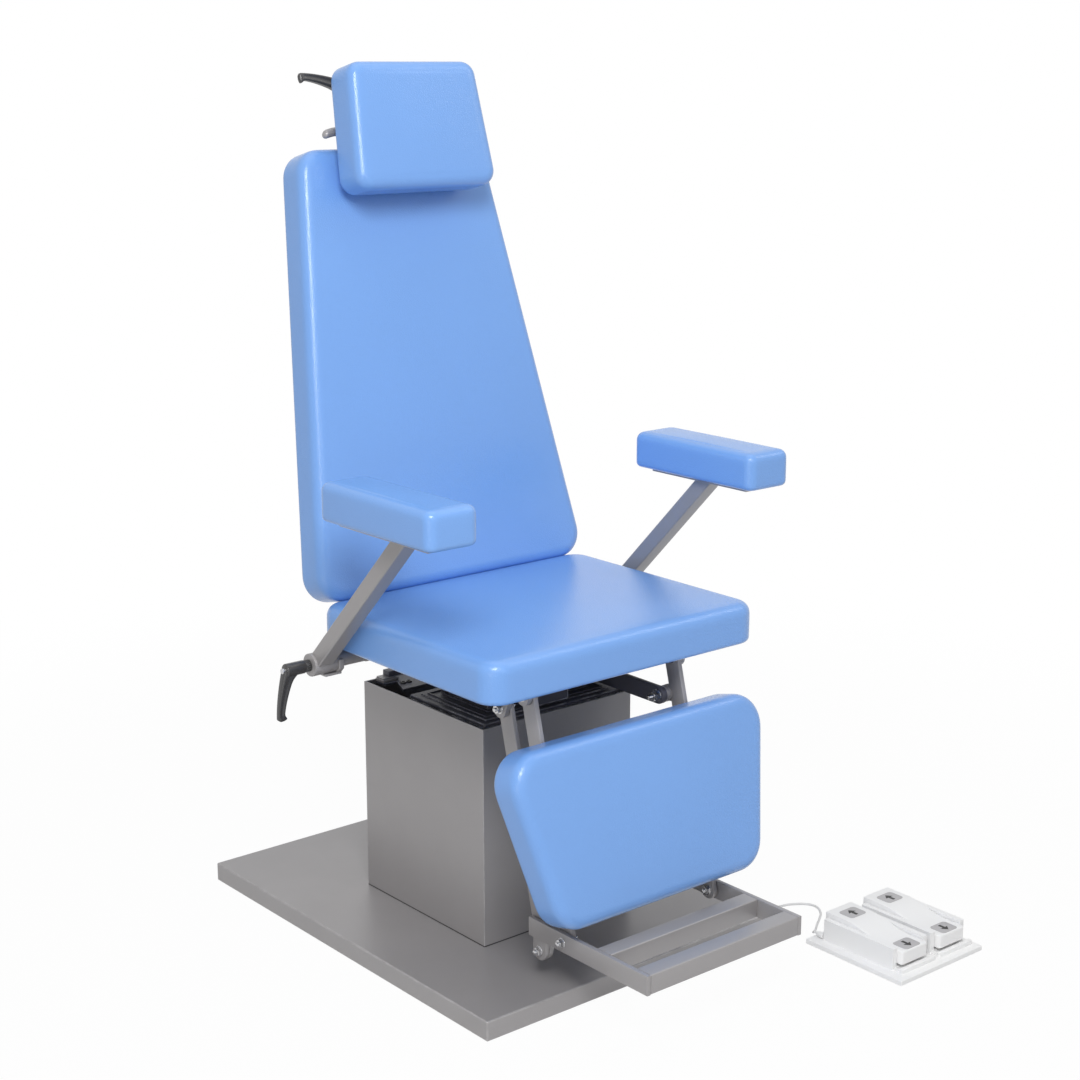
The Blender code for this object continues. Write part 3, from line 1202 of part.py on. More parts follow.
def pedal_rocker(side, housing_x, finishes, pivot):
    """A rocker whose top falls in an S-curve from rear to front, on stub pins in the housing's walls."""
    low_x = housing_x + HOUSING_WALL + ROCKER_CLEARANCE
    high_x = housing_x + HOUSING_WIDTH - HOUSING_WALL - ROCKER_CLEARANCE
    rear_end = ROCKER_REAR_Y - ROCKER_REAR_FLAT
    front_end = ROCKER_FRONT_Y + ROCKER_FRONT_FLAT
    outline = [(ROCKER_REAR_Y, ROCKER_UNDERSIDE), (ROCKER_REAR_Y, ROCKER_REAR_TOP - ROCKER_ROUND)]
    outline += [(ROCKER_REAR_Y - ROCKER_ROUND, ROCKER_REAR_TOP)]
    for step in range(ROCKER_CURVE_STEPS + 1):
        share = step / ROCKER_CURVE_STEPS
        rise = (1 + math.cos(math.pi * share)) / 2
        height = ROCKER_FRONT_TOP + (ROCKER_REAR_TOP - ROCKER_FRONT_TOP) * rise
        outline += [(rear_end + (front_end - rear_end) * share, height)]
    outline += [(ROCKER_FRONT_Y + ROCKER_ROUND, ROCKER_FRONT_TOP)]
    outline += [(ROCKER_FRONT_Y, ROCKER_FRONT_TOP - ROCKER_ROUND), (ROCKER_FRONT_Y, ROCKER_UNDERSIDE)]
    rocker = piece(sided("pedal_rocker", side), prism(outline, low_x, high_x), finishes["white"], pivot)
    pin = rod_x(rocker_axis(), low_x - ROCKER_PIN_SEAT, high_x + ROCKER_PIN_SEAT, ROCKER_PIN_RADIUS)
    fuse(rocker, pin, pivot)


def smooth_route(points, split):
    """Points along a smooth curve through the given points."""
    points = [Vector(point) for point in points]
    padded = [2 * points[0] - points[1], *points, 2 * points[-1] - points[-2]]
    route = []
    for before, start, end, after in zip(padded, padded[1:], padded[2:], padded[3:]):
        for step in range(split):
            t = step / split
            swing = (end - before) * t + (2 * before - 5 * start + 4 * end - after) * t ** 2
            route.append(start + (swing + (3 * (start - end) + after - before) * t ** 3) / 2)
    return [*route, points[-1]]


def pedal_cord(finishes, root):
    """The cord from the pedal to the base, with its strain relief and its gland."""
    curve = bpy.data.curves.new("pedal_cord", "CURVE")
    curve.dimensions = "3D"
    curve.bevel_depth = CORD_RADIUS
    curve.bevel_resolution = 3
    curve.use_fill_caps = True
    route = smooth_route(CORD_ROUTE, CORD_SPLIT)
    spline = curve.splines.new("POLY")
    spline.points.add(len(route) - 1)
    for point, place in zip(spline.points, route):
        point.co = (*place, 1.0)
    curve.materials.append(finishes["cord"])
    cord = bpy.data.objects.new("pedal_cord", curve)
    bpy.context.scene.collection.objects.link(cord)
    cord.parent = root.empty
    end = Vector(CORD_ROUTE[0])
    relief = axis_frame((end.x, RELIEF_REAR_Y - RELIEF_LENGTH, end.z), (0, 1, 0))
    profile = ((0.0, RELIEF_RADIUS), (RELIEF_LENGTH / 2, RELIEF_RADIUS), (RELIEF_LENGTH, CORD_RADIUS))
    piece("pedal_strain_relief", turned(relief, profile, BOLT_SIDES), finishes["white"], root)
    gland = axis_frame((BASE_WIDTH / 2 + GAP, GLAND_Y, GLAND_Z), (1, 0, 0))
    tip_radius = CORD_RADIUS + EDGE_BREAK
    profile = ((0.0, GLAND_RADIUS), (GLAND_LENGTH / 2, GLAND_RADIUS), (GLAND_LENGTH, tip_radius))
    piece("cord_gland", turned(gland, profile, BOLT_SIDES), finishes["lever"], root)


def base_group(finishes, root):
    """Everything that stands still, and the two rockers of the pedal."""
    base_plate(finishes, root)
    column_casing(finishes, root)
    lift_actuator(finishes, root)
    mouth_bracket(finishes, root)
    pedal_base(finishes, root)
    pedal_cord(finishes, root)
    for side, housing_x in zip((-1, 1), HOUSING_X):
        middle_x = housing_x + HOUSING_WIDTH / 2
        pivot = Pivot(sided("rocker_pivot", side), (middle_x, *rocker_axis()), root)
        pedal_rocker(side, housing_x, finishes, pivot)


def seat_group(finishes, lift):
    """What rises with the seat."""
    lift_cover("lift_cover_inner", 1, finishes, lift)
    lift_ram(finishes, lift)
    seat_pedestal(finishes, lift)
    seat_board(finishes, lift)
    seat_cushion(finishes, lift)
    cross_tube(finishes, lift)
    recline_actuator(finishes, lift)
    for side in (-1, 1):
        link_bracket(side, finishes, lift)
        tube_bracket(side, finishes, lift)
        arm = Pivot(sided("arm_pivot", side), (side * ARM_HUB_INNER_X, HINGE_Y, HINGE_Z), lift)
        arm_frame(side, finishes, arm)
        arm_cushion(side, finishes, arm)
        lever = Pivot(sided("lever_pivot", side), (side * ARM_HUB_OUTER_X, HINGE_Y, HINGE_Z), lift)
        arm_lever(side, finishes, lever)


def leg_group(finishes, lift):
    """The linkage under the seat front: two front links, one rear link, the legrest and the footrest."""
    legrest = Pivot("legrest_pivot", (0.0, *FRONT_PIVOT), lift)
    rear = Pivot("rear_link_pivot", (0.0, *REAR_PIVOT), lift)
    footrest = Pivot("footrest_pivot", (0.0, *FRONT_FOOT), legrest)
    coupling = Pivot("coupling_pivot", (COUPLING_OUTER_X, *LUG), legrest)
    for side in (-1, 1):
        front_link(side, finishes, legrest)
        footrest_bar(side, finishes, footrest)
    rear_link(finishes, rear)
    legrest_pad(finishes, legrest)
    coupling_bar(finishes, coupling)
    footrest_tube("footrest_middle_tube", FOOT_MIDDLE_Y, finishes, footrest)
    footrest_tube("footrest_front_tube", FOOT_FRONT_Y + FOOT_TUBE / 2, finishes, footrest)


def back_group(finishes, lift):
    """The backrest with its frame and drive, and the headrest on its post."""
    recline = Pivot("recline_pivot", (0.0, HINGE_Y, HINGE_Z), lift)
    hinge_sleeve(finishes, recline)
    backrest_frame(finishes, recline)
    backrest_cushion(finishes, recline)
    for side in (-1, 1):
        backrest_upright(side, finishes, recline)
    drive = Pivot("drive_slide", (0.0, DRIVE_PIN_REST_Y, DRIVE_Z), lift)
    recline_rod(finishes, drive)
    height = Pivot("headrest_slide", (0.0, *ROD_PLACE), recline)
    headrest_post(finishes, height)
    tilt = Pivot("headrest_tilt", (0.0, *ROD_PLACE), height)
    headrest_bracket(finishes, tilt)
    headrest_cushion(finishes, tilt)
    frame = clamp_screw_frame()
    lever = Pivot("headrest_lever_pivot", frame.translation, tilt)
    clamp_lever("headrest_lever", frame, HEAD_STUD, finishes, lever)


def main():
    clear_scene()
    finishes = make_finishes()
    root = Pivot("base_frame", (0, 0, 0))
    base_group(finishes, root)
    cover = Pivot("cover_slide", (0, 0, COVER_TOP), root)
    outer_cover(finishes, cover)
    lift = Pivot("lift_slide", (0, 0, COVER_TOP), root)
    seat_group(finishes, lift)
    leg_group(finishes, lift)
    back_group(finishes, lift)


main()
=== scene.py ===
"""Looks of a powered ear, nose and throat chair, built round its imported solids, in metres, +Z up.

Every new piece is a surface worked out with numpy: rows of points on a grid of two parameters, or an outline
carried through a list of levels. Painted sheet metal and mouldings keep the solids' shape with rounded edges.
"""

import json
import logging
import math
from dataclasses import dataclass
from enum import Enum
from functools import cache
from typing import Callable, Iterable, Mapping, Optional, Protocol, Sequence

import bmesh
import bpy
import numpy as np
from mathutils import Matrix, Vector

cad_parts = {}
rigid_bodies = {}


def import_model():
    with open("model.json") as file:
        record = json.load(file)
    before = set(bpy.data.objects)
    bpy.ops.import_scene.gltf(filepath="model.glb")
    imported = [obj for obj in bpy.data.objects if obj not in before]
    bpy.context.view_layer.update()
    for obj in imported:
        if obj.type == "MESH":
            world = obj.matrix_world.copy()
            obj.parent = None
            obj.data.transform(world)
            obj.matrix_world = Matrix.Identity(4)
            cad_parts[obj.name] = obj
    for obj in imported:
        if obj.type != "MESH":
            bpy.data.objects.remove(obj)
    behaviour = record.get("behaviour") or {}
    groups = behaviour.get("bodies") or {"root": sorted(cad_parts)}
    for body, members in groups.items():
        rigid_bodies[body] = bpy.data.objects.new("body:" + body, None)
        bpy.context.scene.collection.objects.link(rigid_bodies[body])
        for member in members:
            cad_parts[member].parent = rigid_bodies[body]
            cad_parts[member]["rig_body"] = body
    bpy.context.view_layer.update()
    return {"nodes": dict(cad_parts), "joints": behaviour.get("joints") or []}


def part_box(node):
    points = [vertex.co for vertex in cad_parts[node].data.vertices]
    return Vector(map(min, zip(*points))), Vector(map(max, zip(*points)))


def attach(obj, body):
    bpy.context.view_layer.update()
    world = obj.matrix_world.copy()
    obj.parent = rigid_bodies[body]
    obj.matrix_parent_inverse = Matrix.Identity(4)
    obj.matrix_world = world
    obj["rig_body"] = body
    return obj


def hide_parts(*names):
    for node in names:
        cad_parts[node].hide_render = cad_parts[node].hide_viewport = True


for leftover in list(bpy.data.objects):
    bpy.data.objects.remove(leftover)
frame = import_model()

MERGE = 1e-6
FULL_TURN = 2 * math.pi
QUARTER_TURN = math.pi / 2
SHARP_ABOVE = math.radians(40)
ROUND_ABOVE = math.radians(35)
FLAT_BELOW = math.radians(0.6)
SEAT_FIT = 0.0003
SIDES = {"left": 1, "right": -1}
SWELL_PRESSURE = 4.0
SWELL_HELD_BELOW = 0.004
SWELL_FULL_ABOVE = 0.03

Pair = tuple[float, float]
Triple = tuple[float, float, float]
Outline = Callable[[float], np.ndarray]
Sockets = Mapping[str, bpy.types.NodeSocket]

log = logging.getLogger("chair_looks")


class Grain(Enum):
    """A finish's fine relief: its scale per metre, its share of rounded cells and its depth in metres."""

    PEBBLE = (620.0, 1.0, 0.00022)
    PEEL = (420.0, 0.3, 0.00005)
    MOULD = (1500.0, 0.2, 0.00003)
    PLATED = (900.0, 0.5, 0.00003)
    PLY = (300.0, 0.1, 0.00010)


class Shading(Enum):
    """How the faces of a piece are shaded."""

    SMOOTH = "all smooth"
    BY_ANGLE = "smooth, with sharp edges kept"


@dataclass
class Surface:
    """Points and faces of a piece, before it becomes a mesh.

    Attributes:
        points: One row of x, y, z for each point.
        faces: Arrays of point numbers, one row for each face, one array for each count of corners.
    """

    points: np.ndarray
    faces: list[np.ndarray]

    def __add__(self, other: "Surface") -> "Surface":
        """Both surfaces as one, side by side."""
        shift = len(self.points)
        return Surface(np.vstack([self.points, other.points]), self.faces + [f + shift for f in other.faces])

    def placed(self, matrix: Matrix) -> "Surface":
        """The surface carried into place by a matrix."""
        table = np.array(matrix)
        return Surface(self.points @ table[:3, :3].T + table[:3, 3], self.faces)

    def at(self, place: Sequence[float]) -> "Surface":
        """The surface moved to a place."""
        return self.placed(Matrix.Translation(place))

    def to_object(self, name: str, shading: Shading = Shading.BY_ANGLE) -> bpy.types.Object:
        """A scene object of the surface, with its doubles merged and its faces pointing out.

        Args:
            name: The piece's name.
            shading: How its faces are shaded.

        Returns:
            The object, at the origin, with its place in its mesh.
        """
        mesh = bpy.data.meshes.new(name)
        corners = np.concatenate([faces.ravel() for faces in self.faces]).astype(np.int32)
        counts = np.concatenate([np.full(len(faces), faces.shape[1]) for faces in self.faces])
        starts = np.concatenate([[0], np.cumsum(counts)[:-1]]).astype(np.int32)
        mesh.vertices.add(len(self.points))
        mesh.vertices.foreach_set("co", self.points.astype(np.float32).ravel())
        mesh.loops.add(len(corners))
        mesh.loops.foreach_set("vertex_index", corners)
        mesh.polygons.add(len(starts))
        mesh.polygons.foreach_set("loop_start", starts)
        mesh.update(calc_edges=True)
        work = bmesh.new()
        work.from_mesh(mesh)
        bmesh.ops.remove_doubles(work, verts=work.verts, dist=MERGE)
        bmesh.ops.recalc_face_normals(work, faces=work.faces)
        work.to_mesh(mesh)
        work.free()
        return link_mesh(mesh, shading)

    def add(self, name: str, finish: "Finish", *nodes: str, body: str = "") -> None:
        """Puts the surface into the scene as a dressed piece; the arguments are those of dress."""
        dress(self.to_object(name), finish, *nodes, body=body)


def link_mesh(mesh: bpy.types.Mesh, shading: Shading) -> bpy.types.Object:
    """Puts a mesh into the scene as a shaded object of the same name at the origin."""
    mesh.shade_smooth()
    if shading is Shading.BY_ANGLE:
        mesh.set_sharp_from_angle(angle=SHARP_ABOVE)
    item = bpy.data.objects.new(mesh.name, mesh)
    bpy.context.scene.collection.objects.link(item)
    return item


def round_turn(count: int) -> np.ndarray:
    """Even angles round a full turn."""
    return np.linspace(0.0, FULL_TURN, count, endpoint=False)


def quarter_turn(count: int) -> np.ndarray:
    """Even angles from 0 to a quarter turn."""
    return np.linspace(0.0, QUARTER_TURN, count)


def on_circle(turn: np.ndarray) -> np.ndarray:
    """The x, y points at some angles on a circle of radius 1."""
    return np.stack([np.cos(turn), np.sin(turn)], axis=-1)


def raised(flats: np.ndarray, heights: np.ndarray) -> np.ndarray:
    """Rings of x, y points raised to one height for each ring, or to one for each point."""
    each = heights.reshape(len(flats), -1, 1)
    return np.concatenate([flats, np.broadcast_to(each, (*flats.shape[:2], 1))], axis=2)


def loft(rings: np.ndarray, capped: bool = True) -> Surface:
    """Rings of points joined in order: face (i, j) spans rings i and i + 1 and their points j and j + 1.

    Args:
        rings: Points by ring, place round the ring, and coordinate.
        capped: Whether the first and last ring are closed by a flat face.

    Returns:
        The surface.
    """
    rows, columns = rings.shape[:2]
    index = np.arange(rows * columns).reshape(rows, columns)
    after = np.roll(index, -1, axis=1)
    faces = [np.stack([index[:-1], after[:-1], after[1:], index[1:]], axis=-1).reshape(-1, 4)]
    if capped:
        faces.append(np.stack([index[0][::-1], index[-1]]))
    return Surface(rings.reshape(-1, 3), faces)


def levelled(outline: Outline, levels: np.ndarray, ring: bool = False) -> Surface:
    """An outline carried through levels: at each it is drawn in by the level's inset and lies at its height.

    Args:
        outline: Gives the outline's x, y points for an inset.
        levels: Pairs of inset and height, in order.
        ring: Whether the last level joins the first, instead of a flat face on each.

    Returns:
        The closed surface.
    """
    rings = raised(np.stack([outline(inset) for inset in levels[:, 0]]), levels[:, 1])
    return loft(np.concatenate([rings, rings[:1]]), capped=False) if ring else loft(rings)


def soft_levels(thickness: float, edge: float, steps: int = 4) -> np.ndarray:
    """Levels of a plate whose two edges are quarter circles: inset and height follow the sine and cosine.

    Args:
        thickness: The plate's thickness.
        edge: The radius of its edges.
        steps: Points along each quarter circle.

    Returns:
        Pairs of inset and height.
    """
    low = edge * (1 - on_circle(quarter_turn(steps))[:, ::-1])
    high = np.stack([low[:, 0], thickness - low[:, 1]], axis=1)[::-1]
    return np.vstack([low, high])


def revolved(profile: Sequence[Pair], sides: int = 48) -> Surface:
    """A turned piece about Z: each pair of height and radius becomes a circle.

    Args:
        profile: Heights and radii, from one end to the other.
        sides: Points round the axis.

    Returns:
        The closed surface.
    """
    pairs = np.array(profile)
    return loft(raised(pairs[:, 1, None, None] * on_circle(round_turn(sides)), pairs[:, 0]))


def both_ends(profile: Sequence[Pair], length: float) -> list[Pair]:
    """A turned profile of some length, whose far end mirrors the near one that is given."""
    return [*profile, *((length - along, radius) for along, radius in reversed(profile))]


def rounded_rectangle(half_x: float, half_y: float, corner: float, steps: int = 6) -> Outline:
    """An outline of straight sides and four quarter circles, each drawn in by the inset.

    Args:
        half_x: Half its width.
        half_y: Half its height.
        corner: Its corner radius.
        steps: Points along each corner.

    Returns:
        A function from inset to x, y points.
    """
    turn = quarter_turn(steps) + np.arange(4)[:, None] * QUARTER_TURN
    middle = np.array([(1, 1), (-1, 1), (-1, -1), (1, -1)]) * (half_x - corner, half_y - corner)

    def outline(inset: float) -> np.ndarray:
        """The points at one inset."""
        radius = max(corner - inset, MERGE * 10)
        shrink = 1 - max(inset - corner, 0.0) / np.array([half_x, half_y])
        return ((middle * shrink)[:, None] + on_circle(turn) * radius).reshape(-1, 2)

    return outline


def rounded_box(low: Sequence[float], high: Sequence[float], edge: float = 0.0008) -> Surface:
    """A closed box between two corners, with its upright edges rounded and the others half as much."""
    first, last = np.array(low), np.array(high)
    half = (last - first) / 2
    plan = rounded_rectangle(half[0], half[1], edge)
    return levelled(plan, soft_levels(2 * half[2], edge / 2)).at((*(first + half)[:2], first[2]))


def round_bar(start: Sequence[float], end: Sequence[float], half_width: float, steps: int = 20) -> Outline:
    """A bar's outline between two points: two half circles whose radius shrinks by the inset.

    Args:
        start: One end's middle.
        end: The other end's middle.
        half_width: Half the bar's width.
        steps: Points along each half circle.

    Returns:
        A function from inset to points.
    """
    first, last = np.array(start), np.array(end)
    run = (last - first) / np.linalg.norm(last - first)
    turn = np.linspace(0.0, math.pi, steps)[:, None]
    cap = np.array([-run[1], run[0]]) * np.cos(turn) + run * np.sin(turn)
    return lambda inset: np.vstack([last + cap * (half_width - inset), first - cap * (half_width - inset)])


def convex(points: Sequence[Pair]) -> Outline:
    """A convex outline, given anticlockwise: at an inset each corner moves in along its bisector.

    Args:
        points: The corners.

    Returns:
        A function from inset to points.
    """
    corners = np.array(points)
    ahead = np.roll(corners, -1, axis=0) - corners
    ahead /= np.linalg.norm(ahead, axis=1)[:, None]
    back = np.roll(ahead, 1, axis=0)
    normals = (ahead + back)[:, ::-1] * (-1, 1)
    move = normals / (1 + np.sum(ahead * back, axis=1))[:, None]
    return lambda inset: corners + move * inset


def side_plate(outline: Outline, span: Iterable[float], edge: float) -> Surface:
    """A plate that stands in the side view: its outline is given in y and z, and it spans two planes of X.

    Args:
        outline: The side view, as a function of inset.
        span: The two planes, in any order.
        edge: The radius of its edges.

    Returns:
        The closed surface.
    """
    low_x, high_x = sorted(span)
    turn = Matrix(((0, 0, 1, low_x), (1, 0, 0, 0), (0, 1, 0, 0), (0, 0, 0, 1)))
    return levelled(outline, soft_levels(high_x - low_x, edge)).placed(turn)


def axis_frame(place: Sequence[float], direction: Sequence[float]) -> Matrix:
    """A frame at a place whose Z runs along a direction."""
    return Matrix.Translation(place) @ Vector(direction).to_track_quat("Z", "Y").to_matrix().to_4x4()


def cross_frame(x: float, place: Sequence[float], heading: int = 1) -> Matrix:
    """A frame at an x and a y, z place, whose Z runs along X, or against it for a heading of -1."""
    return axis_frame((x, *place), (heading, 0, 0))


def leaning_frame(foot: Sequence[float], lean: float, along: float, behind: float) -> Matrix:
    """A frame on a leaning piece: X across, Y up the piece and Z out of its front.

    Args:
        foot: The y, z point that the lean starts from.
        lean: The piece's lean to the rear, in radians.
        along: How far up the piece the frame lies.
        behind: How far behind the piece's front plane it lies.

    Returns:
        The frame.
    """
    up = Vector((0.0, math.sin(lean), math.cos(lean)))
    rear = Vector((0.0, math.cos(lean), -math.sin(lean)))
    place = Vector((0.0, *foot)) + up * along + rear * behind
    return Matrix.Translation(place) @ Matrix((Vector((1, 0, 0)), up, -rear)).transposed().to_4x4()


def joint_place(name: str) -> np.ndarray:
    """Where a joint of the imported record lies, as x, y, z."""
    return np.array(next(j for j in frame["joints"] if j["name"] == name)["pos_m"])


def node_body(node: str) -> str:
    """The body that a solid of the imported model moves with."""
    return frame["nodes"][node]["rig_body"]


class ShaderSheet:
    """A node tree that short calls fill in."""

    def __init__(self, tree: bpy.types.NodeTree) -> None:
        """Keeps the tree."""
        self.tree = tree

    def fill(self, node: bpy.types.Node, inputs: dict) -> None:
        """Sets a node's inputs, by name or number, to values, or links them to sockets."""
        for name, value in inputs.items():
            if isinstance(value, bpy.types.NodeSocket):
                self.tree.links.new(value, node.inputs[name])
            else:
                node.inputs[name].default_value = value

    def node(self, kind: str, inputs: Optional[dict] = None, **settings: object) -> bpy.types.Node:
        """Adds a node.

        Args:
            kind: The node's type name.
            inputs: Values, or sockets to link, by input name or number.
            settings: The node's own settings.

        Returns:
            The node.
        """
        made = self.tree.nodes.new(kind)
        for name, value in settings.items():
            setattr(made, name, value)
        self.fill(made, inputs or {})
        return made

    def spot(self) -> bpy.types.NodeSocket:
        """The place on the piece, in its own coordinates."""
        return self.node("ShaderNodeTexCoord").outputs["Object"]

    def noise(self, scale: object, detail: float) -> bpy.types.NodeSocket:
        """Soft noise at a scale, about 0.5 on average."""
        made = self.node("ShaderNodeTexNoise", {"Vector": self.spot(), "Scale": scale, "Detail": detail})
        return made.outputs["Fac"]

    def maths(self, operation: str, first: object, second: object) -> bpy.types.NodeSocket:
        """One sum of two values."""
        return self.node("ShaderNodeMath", {0: first, 1: second}, operation=operation).outputs[0]

    def drift(self, noise: bpy.types.NodeSocket, spread: object, middle: object) -> bpy.types.NodeSocket:
        """A value that follows a noise about its middle by a spread."""
        return self.maths("ADD", self.maths("MULTIPLY", self.maths("SUBTRACT", noise, 0.5), spread), middle)


def new_group(name: str, inputs: Sequence[str], outputs: Sequence[str]) -> tuple[ShaderSheet, Sockets]:
    """A shader node group whose sockets are colours where their labels end in Tone, and numbers elsewhere.

    Args:
        name: The group's name.
        inputs: The labels of its inputs.
        outputs: The labels of its outputs.

    Returns:
        The group's sheet, and the sockets of its inputs by label.
    """
    group = bpy.data.node_groups.new(name, "ShaderNodeTree")
    for direction, labels in (("INPUT", inputs), ("OUTPUT", outputs)):
        for label in labels:
            kind = "NodeSocketColor" if label.endswith("Tone") else "NodeSocketFloat"
            group.interface.new_socket(label, in_out=direction, socket_type=kind)
    sheet = ShaderSheet(group)
    return sheet, sheet.node("NodeGroupInput").outputs


@cache
def cloudy_tone_group() -> bpy.types.NodeTree:
    """The group, built once, that lets a colour and its roughness drift with two soft noises."""
    labels = ("Tone", "Spread", "Scale", "Gloss", "Gloss Spread")
    sheet, given = new_group("cloudy_tone", labels, ("Tone", "Gloss"))
    value = sheet.drift(sheet.noise(given["Scale"], 5.0), given["Spread"], 1.0)
    tone = sheet.node("ShaderNodeHueSaturation", {"Value": value, "Color": given["Tone"]})
    smudges = sheet.noise(sheet.maths("MULTIPLY", given["Scale"], 2.7), 6.0)
    gloss = sheet.drift(smudges, given["Gloss Spread"], given["Gloss"])
    sheet.node("NodeGroupOutput", {"Tone": tone.outputs["Color"], "Gloss": gloss})
    return sheet.tree


@cache
def worn_and_lit_edge_group() -> bpy.types.NodeTree:
    """The group, built once, that lightens the rounded edges of a piece, broken up by noise: wear and a
    painted highlight.
    """
    sheet, given = new_group("rubbed_edge", ("Tone", "Worn Tone", "Amount"), ("Tone", "Mask"))
    edge = sheet.node("ShaderNodeAttribute", attribute_name="edge").outputs["Fac"]
    limits = {"Value": sheet.noise(60.0, 4.0), "From Min": 0.35, "From Max": 0.65}
    patchy = sheet.node("ShaderNodeMapRange", limits).outputs[0]
    mask = sheet.maths("MULTIPLY", sheet.maths("MULTIPLY", edge, patchy), given["Amount"])
    mixed = sheet.node("ShaderNodeMix", data_type="RGBA")
    sources = (mask, given["Tone"], given["Worn Tone"])
    for socket, source in zip([s for s in mixed.inputs if s.enabled], sources):
        sheet.tree.links.new(source, socket)
    result = next(s for s in mixed.outputs if s.enabled)
    sheet.node("NodeGroupOutput", {"Tone": result, "Mask": mask})
    return sheet.tree


@cache
def relief_group() -> bpy.types.NodeTree:
    """The group, built once, that gives a height for a Bump node: small rounded cells mixed with noise."""
    sheet, given = new_group("fine_relief", ("Scale", "Cells"), ("Height",))
    places = {"Vector": sheet.spot(), "Scale": given["Scale"]}
    cells = sheet.node("ShaderNodeTexVoronoi", places, feature="SMOOTH_F1").outputs["Distance"]
    rounded = sheet.maths("MULTIPLY", sheet.maths("SUBTRACT", 1.0, cells), given["Cells"])
    height = sheet.maths("ADD", rounded, sheet.noise(given["Scale"], 2.0))
    sheet.node("NodeGroupOutput", {"Height": height})
    return sheet.tree


@dataclass(frozen=True)
class Finish:
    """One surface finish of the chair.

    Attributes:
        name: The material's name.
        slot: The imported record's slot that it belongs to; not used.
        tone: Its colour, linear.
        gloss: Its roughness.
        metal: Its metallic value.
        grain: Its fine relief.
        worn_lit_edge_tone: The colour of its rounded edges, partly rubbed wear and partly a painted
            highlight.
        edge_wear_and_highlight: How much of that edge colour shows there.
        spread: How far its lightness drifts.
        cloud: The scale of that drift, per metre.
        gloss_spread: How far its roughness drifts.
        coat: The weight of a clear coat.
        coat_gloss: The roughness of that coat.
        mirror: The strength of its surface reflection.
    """

    name: str
    slot: str
    tone: Triple
    gloss: float
    metal: float
    grain: Grain
    # Edge colour: partly rubbed wear, partly a painted highlight on the rounded edges.
    worn_lit_edge_tone: Triple = (0.5, 0.5, 0.5)
    edge_wear_and_highlight: float = 0.0
    spread: float = 0.10
    cloud: float = 6.0
    gloss_spread: float = 0.12
    coat: float = 0.0
    coat_gloss: float = 0.25
    mirror: float = 0.5

    @cache
    def material(self) -> bpy.types.Material:
        """The finish as a material, built once."""
        made = bpy.data.materials.new(self.name)
        made.use_nodes = True
        sheet = ShaderSheet(made.node_tree)
        drifting = {"Tone": (*self.tone, 1.0), "Spread": self.spread, "Scale": self.cloud,
                    "Gloss": self.gloss, "Gloss Spread": self.gloss_spread}
        cloudy = sheet.node("ShaderNodeGroup", drifting, node_tree=cloudy_tone_group()).outputs
        colour = cloudy["Tone"]
        if self.grain is Grain.PLY:
            colour = self.layered(sheet, colour)
        # Painted highlight: rounded edges take a paler colour, partly for wear and partly for the light they
        # catch.
        if self.edge_wear_and_highlight:
            worn_and_lit = {"Tone": colour, "Worn Tone": (*self.worn_lit_edge_tone, 1.0), "Amount": self.edge_wear_and_highlight}
            colour = sheet.node("ShaderNodeGroup", worn_and_lit, node_tree=worn_and_lit_edge_group()).outputs["Tone"]
        scale, cells, depth = self.grain.value
        relief = sheet.node("ShaderNodeGroup", {"Scale": scale, "Cells": cells}, node_tree=relief_group())
        bump = sheet.node("ShaderNodeBump", {"Height": relief.outputs["Height"], "Distance": depth})
        sheet.fill(made.node_tree.nodes["Principled BSDF"], {
            "Base Color": colour, "Roughness": cloudy["Gloss"], "Normal": bump.outputs["Normal"],
            "Metallic": self.metal, "Specular IOR Level": self.mirror,
            "Coat Weight": self.coat, "Coat Roughness": self.coat_gloss,
        })
        return made

    @staticmethod
    def layered(sheet: ShaderSheet, colour: bpy.types.NodeSocket) -> bpy.types.NodeSocket:
        """Darkens a colour in thin bands up the piece, as glued wood layers show."""
        waves = {"Vector": sheet.spot(), "Scale": 110.0, "Distortion": 2.0}
        bands = sheet.node("ShaderNodeTexWave", waves, bands_direction="Z").outputs["Fac"]
        value = sheet.maths("ADD", sheet.maths("MULTIPLY", bands, 0.4), 0.7)
        return sheet.node("ShaderNodeHueSaturation", {"Value": value, "Color": colour}).outputs["Color"]


VINYL = Finish("sky_blue_vinyl", "vinyl", (0.186, 0.383, 0.80), 0.20, 0.0, Grain.PEBBLE,
               spread=0.08, cloud=5.0, gloss_spread=0.06)
# The paler edge colours of the grey and black paints are partly wear and partly a painted highlight.
STEEL = Finish("satin_grey_paint", "grey_paint", (0.345, 0.332, 0.335), 0.38, 0.20, Grain.PEEL,
               worn_lit_edge_tone=(0.55, 0.54, 0.54), edge_wear_and_highlight=0.6, cloud=9.0)
BLACK = Finish("satin_black_paint", "black_paint", (0.105, 0.105, 0.130), 0.42, 0.0, Grain.PEEL,
               worn_lit_edge_tone=(0.60, 0.60, 0.64), edge_wear_and_highlight=1.0, mirror=0.25)
LEVER = Finish("black_lever_plastic", "black_plastic", (0.044, 0.043, 0.044), 0.33, 0.0, Grain.MOULD,
               coat=0.2)
ZINC = Finish("bright_zinc_plate", "zinc", (0.56, 0.56, 0.57), 0.26, 1.0, Grain.PLATED, cloud=60.0)
WHITE = Finish("white_pedal_plastic", "white_plastic", (0.90, 0.90, 0.90), 0.42, 0.0, Grain.MOULD,
               spread=0.03)
CORD = Finish("pale_cord_jacket", "cord", (0.74, 0.74, 0.74), 0.45, 0.0, Grain.MOULD)
